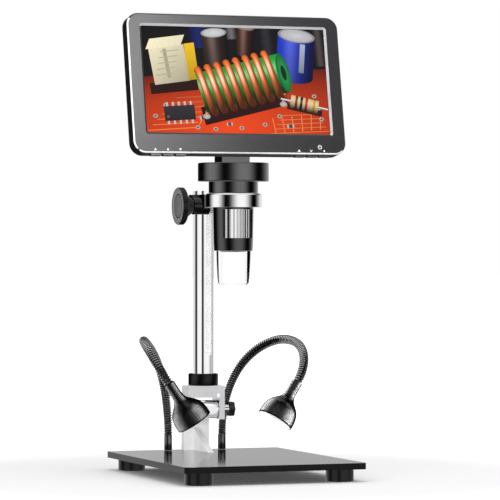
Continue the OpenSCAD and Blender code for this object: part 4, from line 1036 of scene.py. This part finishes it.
def make_backdrop(name, stops, radius, receivers, over=1.0, sky=0.0, axis=(0, 0, 1), fading=(0.2, 0.4),
                  overhead=(0.55, 0.9), even_below=False):
    """A dome of soft light panels that only reflections see. Brightness runs round its axis by the stops.

    Over is the share of it that is left high up and low down, beyond the two levels of fading, or high up
    alone with even_below. Sky is the light from above, beyond the levels of overhead. Each dome has a
    radius of its own, because two in one place would hide each other.
    """
    made = bpy.data.materials.new(name)
    made.use_nodes = True
    nodes, links = made.node_tree.nodes, made.node_tree.links
    nodes.clear()
    out = nodes.new("ShaderNodeOutputMaterial")
    where = nodes.new("ShaderNodeTexCoord")
    apart = nodes.new("ShaderNodeSeparateXYZ")
    links.new(where.outputs["Object"], apart.inputs["Vector"])
    angle = math_node(nodes, links, "ARCTAN2", apart.outputs["X"], apart.outputs["Y"])
    share = map_range(nodes, links, angle, -math.pi, math.pi, 0.0, 1.0)
    greys = [((degrees + 180) / 360, [value] * 3) for degrees, value in stops]
    ring = colour_ramp(nodes, links, share, greys, "EASE")
    rise = math_node(nodes, links, "DIVIDE", apart.outputs["Z"], radius)
    level = rise if even_below else math_node(nodes, links, "ABSOLUTE", rise)
    fade = map_range(nodes, links, level, *fading, 1.0, over, "SMOOTHSTEP")
    high_up = map_range(nodes, links, rise, *overhead, 0.0, sky, "SMOOTHSTEP")
    round_about = math_node(nodes, links, "MULTIPLY", ring, fade)
    total = math_node(nodes, links, "ADD", round_about, high_up)
    glow = nodes.new("ShaderNodeEmission")
    links.new(total, glow.inputs["Strength"])
    through = nodes.new("ShaderNodeBsdfTransparent")
    both = nodes.new("ShaderNodeAddShader")
    links.new(glow.outputs["Emission"], both.inputs[0])
    links.new(through.outputs["BSDF"], both.inputs[1])
    links.new(both.outputs["Shader"], out.inputs["Surface"])
    mesh = bpy.data.meshes.new(name)
    shape = bmesh.new()
    bmesh.ops.create_uvsphere(shape, u_segments=64, v_segments=32, radius=radius)
    shape.to_mesh(mesh)
    shape.free()
    mesh.materials.append(made)
    dome = bpy.data.objects.new(name, mesh)
    bpy.context.scene.collection.objects.link(dome)
    # Its own Y axis points at the camera as far as its Z axis lets it, and its X axis to the camera's right
    up = Vector(axis).normalized()
    towards = direction(CAMERA_AZIMUTH, 0)
    towards = (towards - towards.dot(up) * up).normalized()
    turned = Matrix((up.cross(towards), towards, up)).transposed().to_4x4()
    dome.matrix_world = Matrix.Translation(CAMERA_TARGET) @ turned
    for kind in ("camera", "diffuse", "transmission", "volume_scatter", "shadow"):
        setattr(dome, f"visible_{kind}", False)
    light_only(dome, receivers)


def make_world():
    """White to the camera and through glass, even soft light on matt surfaces, dark in reflections."""
    world = bpy.data.worlds.new("studio")
    bpy.context.scene.world = world
    world.use_nodes = True
    world.cycles.sampling_method = "NONE"     # so that the light path decides what each ray sees
    nodes, links = world.node_tree.nodes, world.node_tree.links
    nodes.clear()
    out = nodes.new("ShaderNodeOutputWorld")
    path = nodes.new("ShaderNodeLightPath")
    ray = path.outputs
    seen = math_node(nodes, links, "MAXIMUM", ray["Is Camera Ray"], ray["Is Transmission Ray"])
    soft = math_node(nodes, links, "MULTIPLY", ray["Is Diffuse Ray"], DAYLIGHT)
    total = math_node(nodes, links, "MAXIMUM", seen, soft)
    sky = nodes.new("ShaderNodeBackground")
    sky.inputs["Color"].default_value = (1, 1, 1, 1)
    links.new(total, sky.inputs["Strength"])
    links.new(sky.outputs["Background"], out.inputs["Surface"])


pieces = [obj for obj in bpy.context.scene.objects if obj.type == "MESH"]


def named(*starts):
    """The pieces whose names start with one of these."""
    return [obj for obj in pieces if obj.name.startswith(starts)]


# Reflections show these pieces and the studio. What else stands near the column and the ring stays out
MIRRORED = ["pedestal", "yoke", "ferrule_left", "ferrule_right", "nut_left", "nut_right"]
for piece in pieces:
    piece.visible_glossy = piece.name in MIRRORED
for node_name in ("column", "rack"):     # the clear nose shows the white behind them
    NODES[node_name].visible_transmission = False

column_pieces = [NODES[name] for name in ("column", "rack", "yoke", "pedestal", "base_plate", "feet")]
hose_pieces = named("hose_", "gooseneck_")
lamp_pieces = named("lamp_")
tip_pieces = [NODES["clear_tip"]]
grip_pieces = [NODES["focus_ring"]]
apart_pieces = column_pieces + hose_pieces + lamp_pieces + tip_pieces + grip_pieces
head_pieces = [obj for obj in pieces if obj not in apart_pieces]

make_floor()
make_lamp("top_light", (0.1, -0.3, 1.6), (0, 0, 0.1), (1.4, 1.4), 9)
make_lamp("left_light", (-1.4, -0.9, 0.7), (0, 0, 0.2), (0.6, 0.9), 4)
make_lamp("bezel_light", (-0.01, -0.326, 0.49), (-0.11, -0.02, 0.34), (0.15, 0.25), 1.35,
          named("bezel", "button_"))
make_lamp("column_light", (-0.45, -1.0, 0.25), (0, 0.07, 0.1), (0.5, 0.5), 7,
          [NODES[name] for name in ("rack", "yoke", "pedestal")])
make_backdrop("round_head", ROUND_HEAD, 4.0, head_pieces, over=0.12, sky=0.8)
make_backdrop("round_column", ROUND_COLUMN, 4.4, column_pieces, sky=0.8)
make_backdrop("round_hoses", ROUND_HOSES, 4.8, hose_pieces, sky=2.1, axis=(-0.33, 0.12, 1),
              overhead=(0.5, 0.75))
make_backdrop("round_tip", ROUND_TIP, 5.2, tip_pieces)
make_backdrop("round_grips", ROUND_GRIPS, 5.6, grip_pieces, sky=0.5)
for side_name, side_sign, round_stops, dome_radius in (("left", -1, ROUND_LEFT_LAMP, 6.0),
                                                       ("right", 1, ROUND_RIGHT_LAMP, 6.4)):
    make_backdrop(f"round_lamp_{side_name}", round_stops, dome_radius, named(f"lamp_{side_name}"), over=0.1,
                  axis=-mirrored(LAMP_DIRECTION, side_sign), fading=(0.4, 0.9), even_below=True)
make_world()
bpy.context.scene.view_settings.view_transform = "Standard"
